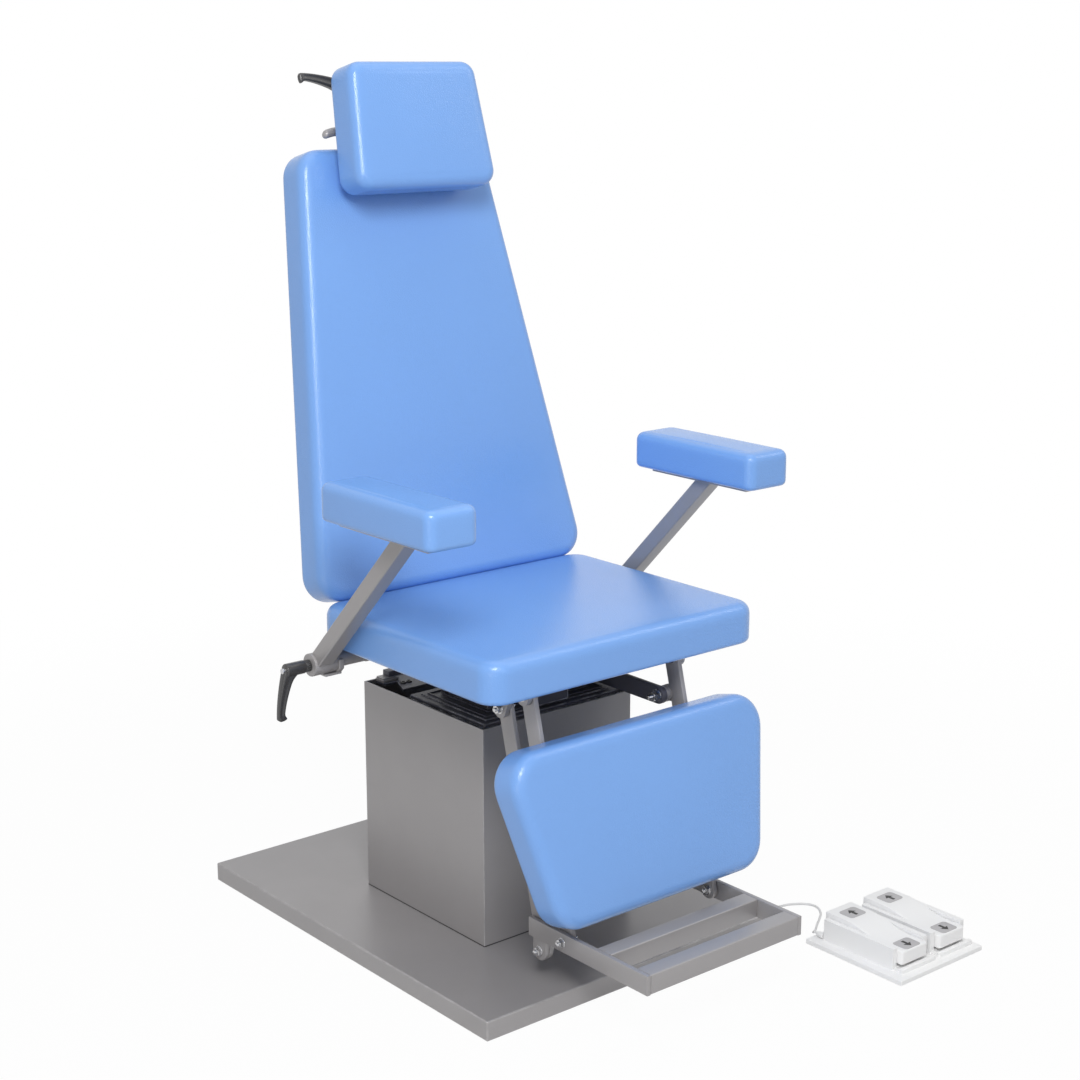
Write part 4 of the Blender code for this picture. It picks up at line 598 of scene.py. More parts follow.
# Painted shade: the seat board is near black so that the space under the seat stays dark.
PLY = Finish("stained_seat_ply", "board", (0.040, 0.038, 0.040), 0.50, 0.0, Grain.PLY)
SIGN = Finish("grey_sign_film", "white_plastic", (0.47, 0.46, 0.47), 0.35, 0.0, Grain.MOULD)
INK = Finish("black_sign_ink", "black_plastic", (0.012, 0.012, 0.012), 0.5, 0.0, Grain.MOULD)


def dress(piece: bpy.types.Object, finish: Finish, *nodes: str, body: str = "") -> None:
    """Gives a piece its finish, its body and the solids that it stands for.

    Args:
        piece: The piece.
        finish: Its finish.
        nodes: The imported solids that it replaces.
        body: The body that it moves with, where that isn't the first solid's.
    """
    rides_on = body or node_body(nodes[0])
    piece.data.materials.clear()
    piece.data.materials.append(finish.material())
    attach(piece, rides_on)
    if nodes:
        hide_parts(*nodes)
    log.info("%s on %s in %s", piece.name, rides_on, finish.name)


def cut_to_slab(work: bmesh.types.BMesh, low_x: float, high_x: float) -> None:
    """Cuts a solid back to the slab between two planes of X and closes the cuts."""
    for place, normal in ((low_x, -1), (high_x, 1)):
        everything = work.verts[:] + work.edges[:] + work.faces[:]
        cut = bmesh.ops.bisect_plane(work, geom=everything, plane_co=(place, 0, 0), plane_no=(normal, 0, 0),
                                     clear_outer=True)
        rims = [part for part in cut["geom_cut"] if isinstance(part, bmesh.types.BMEdge)]
        bmesh.ops.edgeloop_fill(work, edges=rims)


def softened(node: str, finish: Finish, width: float, slab: Optional[Sequence[float]] = None) -> None:
    """Makes a copy of a solid with its sharp edges rounded, which stands for the solid.

    The copy's doubles are merged and its flat faces joined. Each edge that turns by more than 35 degrees
    gets a rounding of two facets, and the attribute "edge" is 1 on those.

    Args:
        node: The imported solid.
        finish: The copy's finish.
        width: The rounding's width.
        slab: Two planes of X that the copy is cut back to.
    """
    work = bmesh.new()
    work.from_mesh(frame["nodes"][node].data)
    bmesh.ops.remove_doubles(work, verts=work.verts, dist=MERGE * 5)
    if slab:
        cut_to_slab(work, *slab)
    bmesh.ops.dissolve_limit(work, angle_limit=FLAT_BELOW, verts=work.verts, edges=work.edges)
    layer = work.faces.layers.float.new("edge")
    sharp = [e for e in work.edges if e.is_manifold and e.calc_face_angle() > ROUND_ABOVE]
    rounded = bmesh.ops.bevel(work, geom=sharp, offset=width, segments=2, profile=0.6, affect="EDGES",
                              clamp_overlap=True)
    for face in rounded["faces"]:
        face[layer] = 1.0
    mesh = bpy.data.meshes.new(f"{node}_finished")
    work.to_mesh(mesh)
    work.free()
    piece = link_mesh(mesh, Shading.BY_ANGLE)
    piece.modifiers.new("even_shading", "WEIGHTED_NORMAL").keep_sharp = True
    dress(piece, finish, node)


@dataclass(frozen=True)
class Cushion:
    """A pad: a rounded trapezoid with soft edges, a crowned front and a flat back.

    Attributes:
        node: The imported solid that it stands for.
        half_bottom: Half its width at the lower end.
        half_top: Half its width at the upper end.
        length: Its length.
        thickness: Its thickness at the crown.
        corner: The radius of its corners.
        edge: The radius of its front edge.
        frame: Its place: X across, Y up the pad and Z out of its front, at the lower end of its back.
        rear_edge: The radius of its rear edge.
        crown: How far the middle of its front stands out.
        slack: How far it stays inside its sizes.
        arc_steps: Points along half a corner.
        spacing: The distance between grid points.
    """

    node: str
    half_bottom: float
    half_top: float
    length: float
    thickness: float
    corner: float
    edge: float
    frame: Matrix
    rear_edge: float = 0.008
    crown: float = 0.002
    slack: float = 0.0008
    arc_steps: int = 5
    spacing: float = 0.010

    def corner_centres(self, inset: float) -> tuple[np.ndarray, np.ndarray, float]:
        """The plan's corners at an inset, the middles of their roundings and the rounding's radius."""
        drawn = inset + self.slack
        slope = (self.half_top - self.half_bottom) / self.length
        sink = drawn * math.hypot(1, slope)
        low = self.half_bottom + slope * drawn - sink
        high = self.half_bottom + slope * (self.length - drawn) - sink
        top = self.length - drawn
        corners = np.array([(low, drawn), (high, top), (-high, top), (-low, drawn)])
        radius = max(self.corner - inset, self.corner / 4)
        ahead = np.roll(corners, -1, axis=0) - corners
        ahead /= np.linalg.norm(ahead, axis=1)[:, None]
        back = -np.roll(ahead, 1, axis=0)
        bisector = ahead + back
        bisector /= np.linalg.norm(bisector, axis=1)[:, None]
        half = np.arccos(np.clip(np.sum(ahead * back, axis=1), -1, 1)) / 2
        return corners, corners + bisector * (radius / np.sin(half))[:, None], radius

    def quarter(self, inset: float, index: int, steps: int) -> np.ndarray:
        """One side of the plan, from the middle of a corner to the middle of the next.

        The corner's half arc comes first, then the straight run, then the next half arc.

        Args:
            inset: How far the plan is drawn in.
            index: The side, 0 for the right one, then round by the left hand.
            steps: Points along the straight run.

        Returns:
            The points, without the last.
        """
        corners, centres, radius = self.corner_centres(inset)
        follower = (index + 1) % 4
        start, end = centres[index], centres[follower]
        runs = (np.roll(corners, -1, axis=0) - corners)[[index - 1, index, follower]]
        run = runs[1] / np.linalg.norm(runs[1])
        out = np.array([run[1], -run[0]]) * radius
        heading = math.atan2(-run[0], run[1])
        back, ahead = (math.atan2(-x, y) for x, y in runs[::2])
        first = heading - ((heading - back) % FULL_TURN) / 2
        last = heading + ((ahead - heading) % FULL_TURN) / 2
        opening = np.linspace(first, heading, self.arc_steps, endpoint=False)
        closing = np.linspace(heading, last, self.arc_steps, endpoint=False)
        share = np.linspace(0.0, 1.0, steps, endpoint=False)[:, None]
        straight = (start + out) * (1 - share) + (end + out) * share
        return np.vstack([start + on_circle(opening) * radius, straight, end + on_circle(closing) * radius])

    def steps(self) -> tuple[int, int]:
        """Points along the straight run of the right and left sides, and of the ends."""
        across = 2 * max(self.half_bottom, self.half_top) - 2 * self.corner
        return max(int((self.length - 2 * self.corner) / self.spacing), 4), max(int(across / self.spacing), 4)

    def ring(self, inset: float) -> np.ndarray:
        """The whole plan at an inset, from the middle of the lower right corner."""
        counts = self.steps() * 2
        return np.vstack([self.quarter(inset, index, count) for index, count in enumerate(counts)])

    def face(self, ring: np.ndarray, height: float, crown: float) -> Surface:
        """A patch that fills a ring: opposite sides are blended, less the blend of the four corners.

        The crown is highest in the middle and runs out level at the rim, as (1 - a^2)^2 (1 - b^2)^2.

        Args:
            ring: The plan's points.
            height: The height of the patch's rim.
            crown: How far its middle stands above that.

        Returns:
            The patch.
        """
        up, across = (count + 2 * self.arc_steps for count in self.steps())
        closed = np.vstack([ring, ring[:1]])
        right = closed[:up + 1]
        top = closed[up:up + across + 1][::-1]
        left = closed[up + across:2 * up + across + 1][::-1]
        bottom = closed[2 * up + across:]
        u = np.linspace(0.0, 1.0, across + 1)[None, :, None]
        v = np.linspace(0.0, 1.0, up + 1)[:, None, None]
        sides = (1 - v) * bottom[None] + v * top[None] + (1 - u) * left[:, None] + u * right[:, None]
        below = (1 - u) * (1 - v) * bottom[0] + u * (1 - v) * bottom[-1]
        corners = below + (1 - u) * v * top[0] + u * v * top[-1]
        dome = (1 - (2 * u - 1) ** 2) ** 2 * (1 - (2 * v - 1) ** 2) ** 2
        points = np.concatenate([sides - corners, height + crown * dome], axis=2)
        index = np.arange((up + 1) * (across + 1)).reshape(up + 1, across + 1)
        quads = np.stack([index[:-1, :-1], index[:-1, 1:], index[1:, 1:], index[1:, :-1]], axis=-1)
        return Surface(points.reshape(-1, 3), [quads.reshape(-1, 4)])

    def surface(self) -> Surface:
        """The closed pad in its own frame: back patch, rounded sides and front patch."""
        shoulder = self.thickness - self.crown - self.slack
        arc = 1 - on_circle(quarter_turn(6))
        rear = self.rear_edge * arc[:, ::-1]
        front = (0.0, shoulder) + self.edge * arc * (1, -1)
        walls = np.linspace(self.rear_edge, shoulder - self.edge, 5)[1:-1]
        levels = np.vstack([rear, np.column_stack([np.zeros_like(walls), walls]), front])
        rings = np.stack([self.ring(inset) for inset in levels[:, 0]])
        wall = loft(raised(rings, levels[:, 1]), capped=False)
        return self.face(rings[0], 0.0, 0.0) + wall + self.face(rings[-1], shoulder, self.crown)

    def build(self) -> bpy.types.Object:
        """The pad as an object in its own frame."""
        return self.surface().to_object(self.node.replace("cushion", "pad"), Shading.SMOOTH)


def read_points(mesh: bpy.types.Mesh) -> np.ndarray:
    """A mesh's points, one row each."""
    flat = np.empty(len(mesh.vertices) * 3, np.float32)
    mesh.vertices.foreach_get("co", flat)
    return flat.reshape(-1, 3).astype(float)


def evened(mesh: bpy.types.Mesh, values: np.ndarray, rounds: int = 40) -> np.ndarray:
    """Values on a mesh's points, each replaced again and again by the mean of itself and its neighbours.

    Args:
        mesh: The mesh.
        values: One value for each point.
        rounds: How often.

    Returns:
        The smoother values.
    """
    ends = np.empty(len(mesh.edges) * 2, np.int32)
    mesh.edges.foreach_get("vertices", ends)
    first, last = ends.reshape(-1, 2).T
    count = len(values)
    share = 1 + np.bincount(first, minlength=count) + np.bincount(last, minlength=count)
    for _ in range(rounds):
        near = np.bincount(first, values[last], count) + np.bincount(last, values[first], count)
        values = (values + near) / share
    return values


def swell(pads: Sequence[bpy.types.Object], rise: float, frames: int = 20) -> None:
    """Blows closed pads up a little with cloth pressure and keeps the result in their meshes.

    Only a point's way d out along its normal is kept, as d / (1 + d / rise), so it stays under the rise and
    no edge is drawn in. It is evened out between neighbours and fades out towards the pad's flat back.

    Args:
        pads: The pads, each with its flat back at z = 0.
        rise: The most that a point may move.
        frames: How many frames the simulation runs.
    """
    for pad in pads:
        held = pad.vertex_groups.new(name="held")
        low = np.flatnonzero(read_points(pad.data)[:, 2] < SWELL_HELD_BELOW)
        held.add(low.tolist(), 1.0, "REPLACE")
        cloth = pad.modifiers.new("swell", "CLOTH")
        cloth.settings.use_pressure = True
        cloth.settings.uniform_pressure_force = SWELL_PRESSURE
        cloth.settings.vertex_group_mass = held.name
        cloth.settings.effector_weights.gravity = 0.0
        cloth.point_cache.frame_end = frames
    for step in range(1, frames + 1):
        bpy.context.scene.frame_set(step)
    graph = bpy.context.evaluated_depsgraph_get()
    for pad in pads:
        rest = read_points(pad.data)
        solved = pad.evaluated_get(graph)
        moved = read_points(solved.to_mesh()) - rest
        solved.to_mesh_clear()
        normals = np.empty(rest.size, np.float32)
        pad.data.vertex_normals.foreach_get("vector", normals)
        normals = normals.reshape(-1, 3)
        out = np.maximum(np.sum(moved * normals, axis=1), 0.0)
        fade = np.clip(rest[:, 2] / SWELL_FULL_ABOVE, 0.0, 1.0)
        capped = evened(pad.data, out / (1 + out / rise) * fade)
        pad.modifiers.clear()
        pad.vertex_groups.clear()
        pad.data.vertices.foreach_set("co", (rest + normals * capped[:, None]).astype(np.float32).ravel())
        log.info("%s swelled, %.1f mm before the cap", pad.name, 1000 * float(out.max()))
    bpy.context.scene.frame_set(1)


@dataclass
class Upholstery:
    """The six cushions of the chair."""

    back_foot: Pair = (0.0627, 0.5555)
    back_lean: float = math.radians(13.57)
    back_thick: float = 0.065
    head_lean: float = math.radians(12.9)
    head_thick: float = 0.066
    leg_lean: float = math.radians(14.3)
    head_up_the_back: float = 0.621
    head_forward: float = 0.0822
    seat_corner: float = 0.036
    arm_corner: float = 0.016
    arm_edge: float = 0.013
    arm_spacing: float = 0.006
    edge: float = 0.018
    link_face: float = 0.0156
    legrest_drop: float = 0.341
    seat_over: float = 0.003
    back_under: float = 0.0050
    rise: float = 0.0014
    fill: float = 0.85

    def cushions(self) -> list[Cushion]:
        """The cushions: half widths below and above, length, thickness, corner, edge and place."""
        head = leaning_frame(self.back_foot, self.back_lean, self.head_up_the_back, -self.head_forward)
        back = leaning_frame(self.back_foot, self.back_lean, -self.back_under, self.back_thick)
        head = leaning_frame(head.translation.yz, self.head_lean, 0.0, self.head_thick)
        pivot = joint_place("legrest_swing")[1:]
        leg = leaning_frame(pivot, self.leg_lean, -self.legrest_drop, -self.link_face)
        length = 0.705 + self.back_under
        return [
            self.flat_pad("seat_cushion", self.seat_corner, self.edge, over=self.seat_over),
            Cushion("backrest_cushion", 0.273, 0.182, length, self.back_thick, 0.043, self.edge, back),
            Cushion("headrest_cushion", 0.138, 0.123, 0.202, self.head_thick, 0.025, 0.016, head,
                    spacing=0.007),
            Cushion("legrest_cushion", 0.203, 0.263, 0.272, 0.061, 0.050, self.edge, leg),
            *(self.flat_pad(f"arm_cushion_{label}", self.arm_corner, self.arm_edge, self.arm_spacing)
              for label in SIDES),
        ]

    @staticmethod
    def flat_pad(node: str, corner: float, edge: float, spacing: float = 0.010, over: float = 0.0) -> Cushion:
        """A level cushion that fills its solid's box.

        Args:
            node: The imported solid.
            corner: The radius of its corners.
            edge: The radius of its upper edge.
            spacing: The distance between grid points.
            over: How far its top stands above the box.

        Returns:
            The cushion.
        """
        low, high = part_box(node)
        half = (high.x - low.x) / 2
        place = Matrix.Translation((low.x + half, low.y, low.z))
        size = (half, half, high.y - low.y, high.z - low.z + over)
        return Cushion(node, *size, corner, edge, place, spacing=spacing)

    def build(self) -> None:
        """Makes, swells, places and dresses every cushion."""
        plans = self.cushions()
        pads = [plan.build() for plan in plans]
        swell(pads, self.rise)
        for plan, pad in zip(plans, pads):
            pad.data.transform(plan.frame)
            finer = pad.modifiers.new("finer", "SUBSURF")
            finer.levels = 1
            finer.render_levels = 1
            dress(pad, VINYL, plan.node)


@dataclass(frozen=True)
class Bolt:
    """A hexagon bolt head or nut, with its washer and a screw end that may stand out of it.

    Attributes:
        flats: The distance across the hexagon's flats.
        height: The head's height.
        washer: The washer's radius.
        washer_height: The washer's thickness.
        screw: The screw's radius where it stands out.
        reach: How far the screw stands out of the head.
        rim: The bevel of the washer.
        pitch: The height of a half turn of the thread.
        groove: The depth of the thread.
        slope: The fall of the hexagon's chamfer.
    """

    flats: float = 0.0118
    height: float = 0.0062
    washer: float = 0.0081
    washer_height: float = 0.0012
    screw: float = 0.0032
    reach: float = 0.0032
    rim: float = 0.0003
    pitch: float = 0.0006
    groove: float = 0.0004
    slope: float = math.radians(30)

    def surface(self) -> Surface:
        """The bolt along Z, standing on z = 0.

        The hexagon's radius at an angle is half the flats over the cosine of the angle to the nearest flat,
        and its top falls off where that radius passes the chamfer's circle.
        """
        turn, inner = round_turn(72), self.flats / 2
        base, top = self.washer_height, self.washer_height + self.height
        radius = inner / np.cos((turn + math.pi / 6) % (math.pi / 3) - math.pi / 6)
        drop = np.maximum(radius - 0.99 * inner, 0.0) * math.tan(self.slope)
        radii = np.stack([radius, radius, np.full_like(radius, 0.93 * inner)])
        heights = np.stack([np.full_like(turn, base * 0.9), top - drop, np.full_like(turn, top)])
        head = loft(raised(radii[..., None] * on_circle(turn), heights))
        disc = both_ends([(0.0, self.washer - self.rim), (self.rim, self.washer)], base)
        return head + revolved(disc) + self.thread(top)

    def thread(self, start: float) -> Surface:
        """A screw end: the radius saws up and down along the height, and the tip is bevelled."""
        count = max(int(self.reach / self.pitch), 4)
        heights = np.linspace(start - 0.001, start + self.reach, count)
        radii = self.screw - self.groove * (np.arange(count) % 2)
        return revolved([*zip(heights, radii), (start + self.reach + self.pitch, self.screw * 0.75)], 32)


@dataclass
class ClampLever:
    """A black clamping lever: a ribbed collar, a round hub with a screw in its end, and a drooping arm.

    Attributes:
        node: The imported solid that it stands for.
        frame: Its place: Z out along the hub, X along the arm.
        hub_foot: The groove above the collar, as heights from it and depths below the hub's radius.
        screw: The screw's heights from the hub's end, and its radii.
    """

    node: str
    frame: Matrix
    collar: float = 0.0092
    collar_radius: float = 0.0088
    collar_bevel: float = 0.0008
    ribs: int = 22
    rib: float = 0.0005
    hub: float = 0.0445
    hub_radius: float = 0.0104
    hub_edge: float = 0.003
    hub_foot: Sequence[Pair] = ((-0.0005, 0.0018), (0.0008, 0.0018), (0.0014, 0.0004), (0.0022, 0.0))
    screw: Sequence[Pair] = ((-0.002, 0.0044), (0.0046, 0.0044), (0.0054, 0.0036), (0.0056, 0.0022))
    arm: float = 0.080
    outer_edge: float = 0.0478
    lean: float = 0.0118
    neck: float = 0.0112
    root: float = 0.0112
    fillet: float = 0.0110
    knob: float = 0.0046
    thin: float = 0.0046
    thicker: float = 0.0034
    recess: float = 0.0014
    boxiness: float = 4.2

    def collar_surface(self) -> Surface:
        """The ribbed collar: its radius swings with a wave round the axis, less at both ends."""
        turn = round_turn(self.ribs * 8)
        wave = self.rib * np.tanh(3 * np.cos(self.ribs * turn))
        heights = np.array([0.0002, 0.0010, self.collar - 0.0010, self.collar])
        ends = np.array([-self.collar_bevel, 0.0, 0.0, -self.collar_bevel])
        radii = self.collar_radius + wave[None] + ends[:, None]
        return loft(raised(radii[..., None] * on_circle(turn), heights))

    def hub_surface(self) -> Surface:
        """The hub: a groove above the collar, a barrel and a rounded end."""
        radius, start, edge = self.hub_radius, self.collar, self.hub_edge
        arc = on_circle(quarter_turn(7)) * edge
        round_end = zip(self.hub - edge + arc[:, 1], radius - edge + arc[:, 0])
        foot = [(start + along, radius - depth) for along, depth in self.hub_foot]
        return revolved([*foot, *round_end])

    def arm_surface(self) -> Surface:
        """The arm: a soft box section, dished on both sides, carried along its droop.

        With t from 0 at the hub to 1 at the tip, the outer edge moves out by a sine. The width falls from
        the root to a neck, with a fillet under the hub as a bell curve, and swells inwards again at about
        0.95 into a hooked tip. The dish takes a bell curve of the place across the width off the sides. The
        last rows close with a square root.
        """
        rows = np.linspace(0.0, 1.0, 65)
        circle = on_circle(round_turn(56))
        box = np.sign(circle) * np.abs(circle) ** (2 / self.boxiness)
        knob = self.knob * np.exp(-((rows - 0.955) / 0.06) ** 2)
        fillet = self.fillet * np.exp(-(rows / 0.13) ** 2)
        outer = self.outer_edge + self.lean * np.sin(rows * QUARTER_TURN)
        width = self.neck + self.root * (1 - rows) ** 1.6 + fillet + knob
        half_y = self.thin + self.thicker * (1 - rows) ** 1.3
        close = np.maximum(np.sqrt(np.clip((1.0 - rows) / 0.05, 0.0, 1.0)), 0.05)
        middle = outer - width / 2
        width, half_y = width * close, half_y * close
        dish = self.recess * np.clip(np.minimum(rows / 0.25, (0.93 - rows) / 0.1), 0.0, 1.0)
        shape = np.exp(-((box[:, 1] - 0.1) / 0.5) ** 2) * box[:, 0]
        across = half_y[:, None] * box[None, :, 0] - dish[:, None] * shape[None]
        along = np.broadcast_to((self.arm * rows)[:, None], across.shape)
        out = middle[:, None] + width[:, None] / 2 * box[None, :, 1]
        return loft(np.stack([along, across, out], axis=2))

    def build(self) -> None:
        """Makes the lever and the zinc screw in the end of its hub."""
        black = self.collar_surface() + self.hub_surface() + self.arm_surface()
        black.placed(self.frame).add(f"{self.node}_moulding", LEVER, self.node)
        screw = revolved([(self.hub + along, radius) for along, radius in self.screw], 32)
        screw.placed(self.frame).add(f"{self.node}_screw", ZINC, body=node_body(self.node))


@dataclass
class ColumnAndBase:
    """The floor plate, the column casing and what shows in its mouth.

    Attributes:
        steps: The switch's plate: each step's lower corner, far x and top, from the switch's lower corner.
    """

    # Sizes of the dark bead that paints the shadow line round the casing's foot.
    shadow_line_height: float = 0.0016
    shadow_line_proud: float = 0.0004
    shadow_line_width: float = 0.002
    bead_corner: float = 0.0015
    bush_x: Pair = (-0.104, -0.093)
    bush_y: float = 0.0897
    bush_height: float = 0.0026
    bush_bevel: float = 0.0005
    bush_radii: Pair = (0.0033, 0.0051)
    rim_insets: Pair = (0.019, 0.036)
    step_height: float = 0.0082
    rim_height: float = 0.0022
    rim_width: float = 0.0030
    steps: Sequence[tuple[Triple, Pair]] = (((-0.0070, -0.0055, 0.0), (0.0240, 0.0042)),
                                            ((-0.0050, -0.0030, 0.0040), (0.0200, 0.0066)))
    switch_shift: float = 0.0080
    switch_span: Pair = (0.0060, 0.0015)

    def build(self) -> None:
        """Rounds the painted sheet metal and adds what is small in the mouth and round the casing."""
        softened("base_plate", STEEL, 0.0010)
        softened("column_casing", STEEL, 0.0009)
        for node in ("mouth_bracket", "lift_cover_outer", "lift_cover_inner", "seat_pedestal"):
            softened(node, BLACK, 0.0012)
        softened("lift_actuator", BLACK, 0.001)
        softened("lift_ram", ZINC, 0.001)
        self.switch()
        self.hole_shade_rings()
        self.beads()

    def switch(self) -> None:
        """The switch behind the covers: a dark body on a flat stepped plate."""
        low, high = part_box("limit_switch")
        lower, upper = (rounded_box(np.array(low) + corner, (low.x + far, high.y, low.z + top))
                        for corner, (far, top) in self.steps)
        (lower + upper).add("limit_switch_plate", STEEL, body="base")
        start = (low.x + self.switch_shift, low.y, low.z + self.switch_span[0])
        end = (high.x + self.switch_shift, high.y, high.z + self.switch_span[1])
        rounded_box(start, end).add("limit_switch_body", BLACK, "limit_switch", body="base")

    def hole_shade_rings(self) -> None:
        """Black rings with a bevelled rim and a shallow floor in the bracket's two holes: painted shade
        inside the holes.
        """
        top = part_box("mouth_bracket")[1].z
        (inner, outer), height, bevel = self.bush_radii, self.bush_height, self.bush_bevel
        profile = [(0.0, outer), (height - bevel, outer), (height, outer - bevel), (height, inner),
                   (bevel, inner)]
        left, right = (revolved(profile).at((x, self.bush_y, top)) for x in self.bush_x)
        # Painted shade: the black rings and floors stand in for the dark inside of the holes.
        (left + right).add("mouth_bracket_bushes", LEVER, body="base")

    def beads(self) -> None:
        """Two low rims on the pedestal's plate, and a dark bead just proud of the casing's foot as a painted
        shadow line.
        """
        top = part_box("lift_cover_inner")[1].z + self.step_height
        first, second = (self.bead("lift_cover_inner", -inset, (self.rim_width, self.rim_height), top)
                         for inset in self.rim_insets)
        (first + second).add("pedestal_rims", BLACK, body=node_body("seat_pedestal"))
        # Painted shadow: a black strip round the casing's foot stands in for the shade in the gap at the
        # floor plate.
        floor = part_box("base_plate")[1].z + SEAT_FIT / 2
        foot_shadow = self.bead("column_casing", self.shadow_line_proud, (self.shadow_line_width, self.shadow_line_height), floor)
        foot_shadow.add("casing_foot_seal", LEVER, body="base")

    def bead(self, node: str, proud: float, section: Pair, floor: float) -> Surface:
        """A ring of square section round the plan of a solid.

        Args:
            node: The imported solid.
            proud: How far the ring stands out of its box.
            section: The ring's width and height.
            floor: Its underside.

        Returns:
            The closed ring.
        """
        low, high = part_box(node)
        width, height = section
        plan = rounded_rectangle((high.x - low.x) / 2 + proud, (high.y - low.y) / 2 + proud, self.bead_corner)
        levels = np.array([(0.0, 0.0), (0.0, height), (width, height), (width, 0.0)])
        return levelled(plan, levels, ring=True).at(((low.x + high.x) / 2, (low.y + high.y) / 2, floor))


@dataclass
class LegLinkage:
    """The links under the seat front, the footrest and every bolt that they turn on.

    Attributes:
        spacer: The grooved ring between the coupling bar and its lug, as places along it and radii.
    """

    link_half: float = 0.015
    link_x: Pair = (0.141, 0.149)
    ear_outer_x: float = 0.158
    ear_back: float = 0.0012
    bracket_slab: Pair = (0.1495, 0.1582)
    lug_x: Pair = (0.1413, 0.1487)
    lug_half: float = 0.0135
    lug_down: float = 0.0552
    edge: float = 0.0014
    foot_edges: Pair = (0.0012, 0.0010)
    tube_corner: float = 0.0022
    tube_edge: float = 0.0006
    coupling_half: float = 0.014
    spacer: Sequence[Pair] = ((0.0, 0.0128), (0.0004, 0.0132), (0.0030, 0.0132), (0.0034, 0.0120),
                              (0.0060, 0.0120), (0.0064, 0.0132), (0.0096, 0.0132), (0.0102, 0.0128))
    spacer_gap: float = 0.0002
    nut: Bolt = Bolt(flats=0.0145, height=0.0100, washer=0.0105, washer_height=0.0016, screw=0.0036,
                     reach=0.0080)
    nut_sunk: float = 0.0001

    def pivots(self) -> dict[str, np.ndarray]:
        """The y, z places of the four pivots of a pair of links."""
        joints = ("legrest_swing", "rear_link_swing", "footrest_level")
        front, rear, foot = (joint_place(name)[1:] for name in joints)
        return {"front": front, "rear": rear, "front_foot": foot, "rear_foot": rear + foot - front}

    def build(self) -> None:
        """Makes both sides of the linkage and the footrest between them."""
        for label, side in SIDES.items():
            self.link("front", f"front_link_{label}", side)
            self.bolts(label, side)
            softened(f"link_bracket_{label}", STEEL, 0.0008, sorted(side * x for x in self.bracket_slab))
            self.foot_bar(label, side)
        self.link("rear", "rear_link", SIDES["right"])
        for name in ("upper", "lower"):
            softened(f"legrest_crossbar_{name}", STEEL, 0.0012)
        for name in ("middle", "front"):
            self.tube(f"footrest_{name}_tube")
        self.coupling()

    def link(self, name: str, node: str, side: int) -> None:
        """A flat bar between two pivots, with round ends and softened edges.

        Args:
            name: "front" or "rear", for its pivots.
            node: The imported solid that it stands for.
            side: 1 on the left, -1 on the right.
        """
        places = self.pivots()
        outline = round_bar(places[name], places[f"{name}_foot"], self.link_half)
        side_plate(outline, (side * x for x in self.link_x), self.edge).add(f"{node}_bar", STEEL, node)

    def bolts(self, label: str, side: int) -> None:
        """Heads outside and nuts inside at the pivots of one side; only the right side has a rear link."""
        for name, place in self.pivots().items():
            if side > 0 and name.startswith("rear"):
                continue
            face = self.ear_outer_x - (self.ear_back if name == "rear_foot" else 0.0)
            outside = Bolt().surface().placed(cross_frame(side * face, place, side))
            inside = Bolt().surface().placed(cross_frame(side * self.link_x[0], place, -side))
            solids = [f"footrest_bolt_{name.split('_')[0]}_{label}"] if "foot" in name else []
            body = "footrest" if solids else "seat"
            (outside + inside).add(f"pivot_bolt_{name}_{label}", ZINC, *solids, body=body)

    def foot_bar(self, label: str, side: int) -> None:
        """A side bar of the footrest; the right one has an ear, set back a little, down to the rear link."""
        node = f"footrest_bar_{label}"
        low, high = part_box("footrest_bar_left")
        low_x, high_x = sorted((side * low.x, side * high.x))
        corners = [(low.y, low.z), (high.y, low.z), (high.y, high.z), (low.y, high.z)]
        metal = side_plate(convex(corners), (low_x, high_x), self.foot_edges[0])
        if side < 0:
            foot = self.pivots()["rear_foot"]
            ear = round_bar((foot[0], low.z + self.link_half), foot, self.link_half)
            metal = metal + side_plate(ear, (low_x + self.ear_back, high_x), self.foot_edges[1])
        metal.add(f"{node}_painted", STEEL, node)

    def tube(self, node: str) -> None:
        """A square tube with rounded corners, carried straight across between the side bars."""
        low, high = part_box(node)
        half = (high.z - low.z) / 2
        place = cross_frame(low.x, ((low.y + high.y) / 2, (low.z + high.z) / 2))
        levels = soft_levels(high.x - low.x, self.tube_edge)
        rod = levelled(rounded_rectangle(half, half, self.tube_corner), levels)
        rod.placed(place).add(f"{node}_painted", STEEL, node)

    def coupling(self) -> None:
        """The dark bar from the backrest's crank to the left front link, with its lug, studs and nuts."""
        near = joint_place("coupling_swing")[1:]
        far = joint_place("recline")[1:] + near - joint_place("legrest_swing")[1:]
        low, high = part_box("coupling_bar")
        bar = side_plate(round_bar(near, far, self.coupling_half), (low.x, high.x), self.edge)
        bar.add("coupling_bar_painted", BLACK, "coupling_bar", body="coupling")
        lug = side_plate(round_bar(self.lug_root(), near, self.lug_half), self.lug_x, self.foot_edges[0])
        lug.add("coupling_lug", STEEL, body="legrest")
        spacer = revolved(self.spacer).placed(cross_frame(high.x + self.spacer_gap, near))
        spacer.add("coupling_spacer", STEEL, body="legrest")
        for place, body, name in ((near, "legrest", "near"), (far, "backrest", "far")):
            stud = self.nut.surface().placed(cross_frame(low.x - self.nut_sunk, place, -1))
            stud.add(f"coupling_nut_{name}", ZINC, body=body)

    def lug_root(self) -> np.ndarray:
        """Where the lug of the coupling bar is welded to the left front link."""
        places = self.pivots()
        run = places["front_foot"] - places["front"]
        return places["front"] + run / np.linalg.norm(run) * self.lug_down


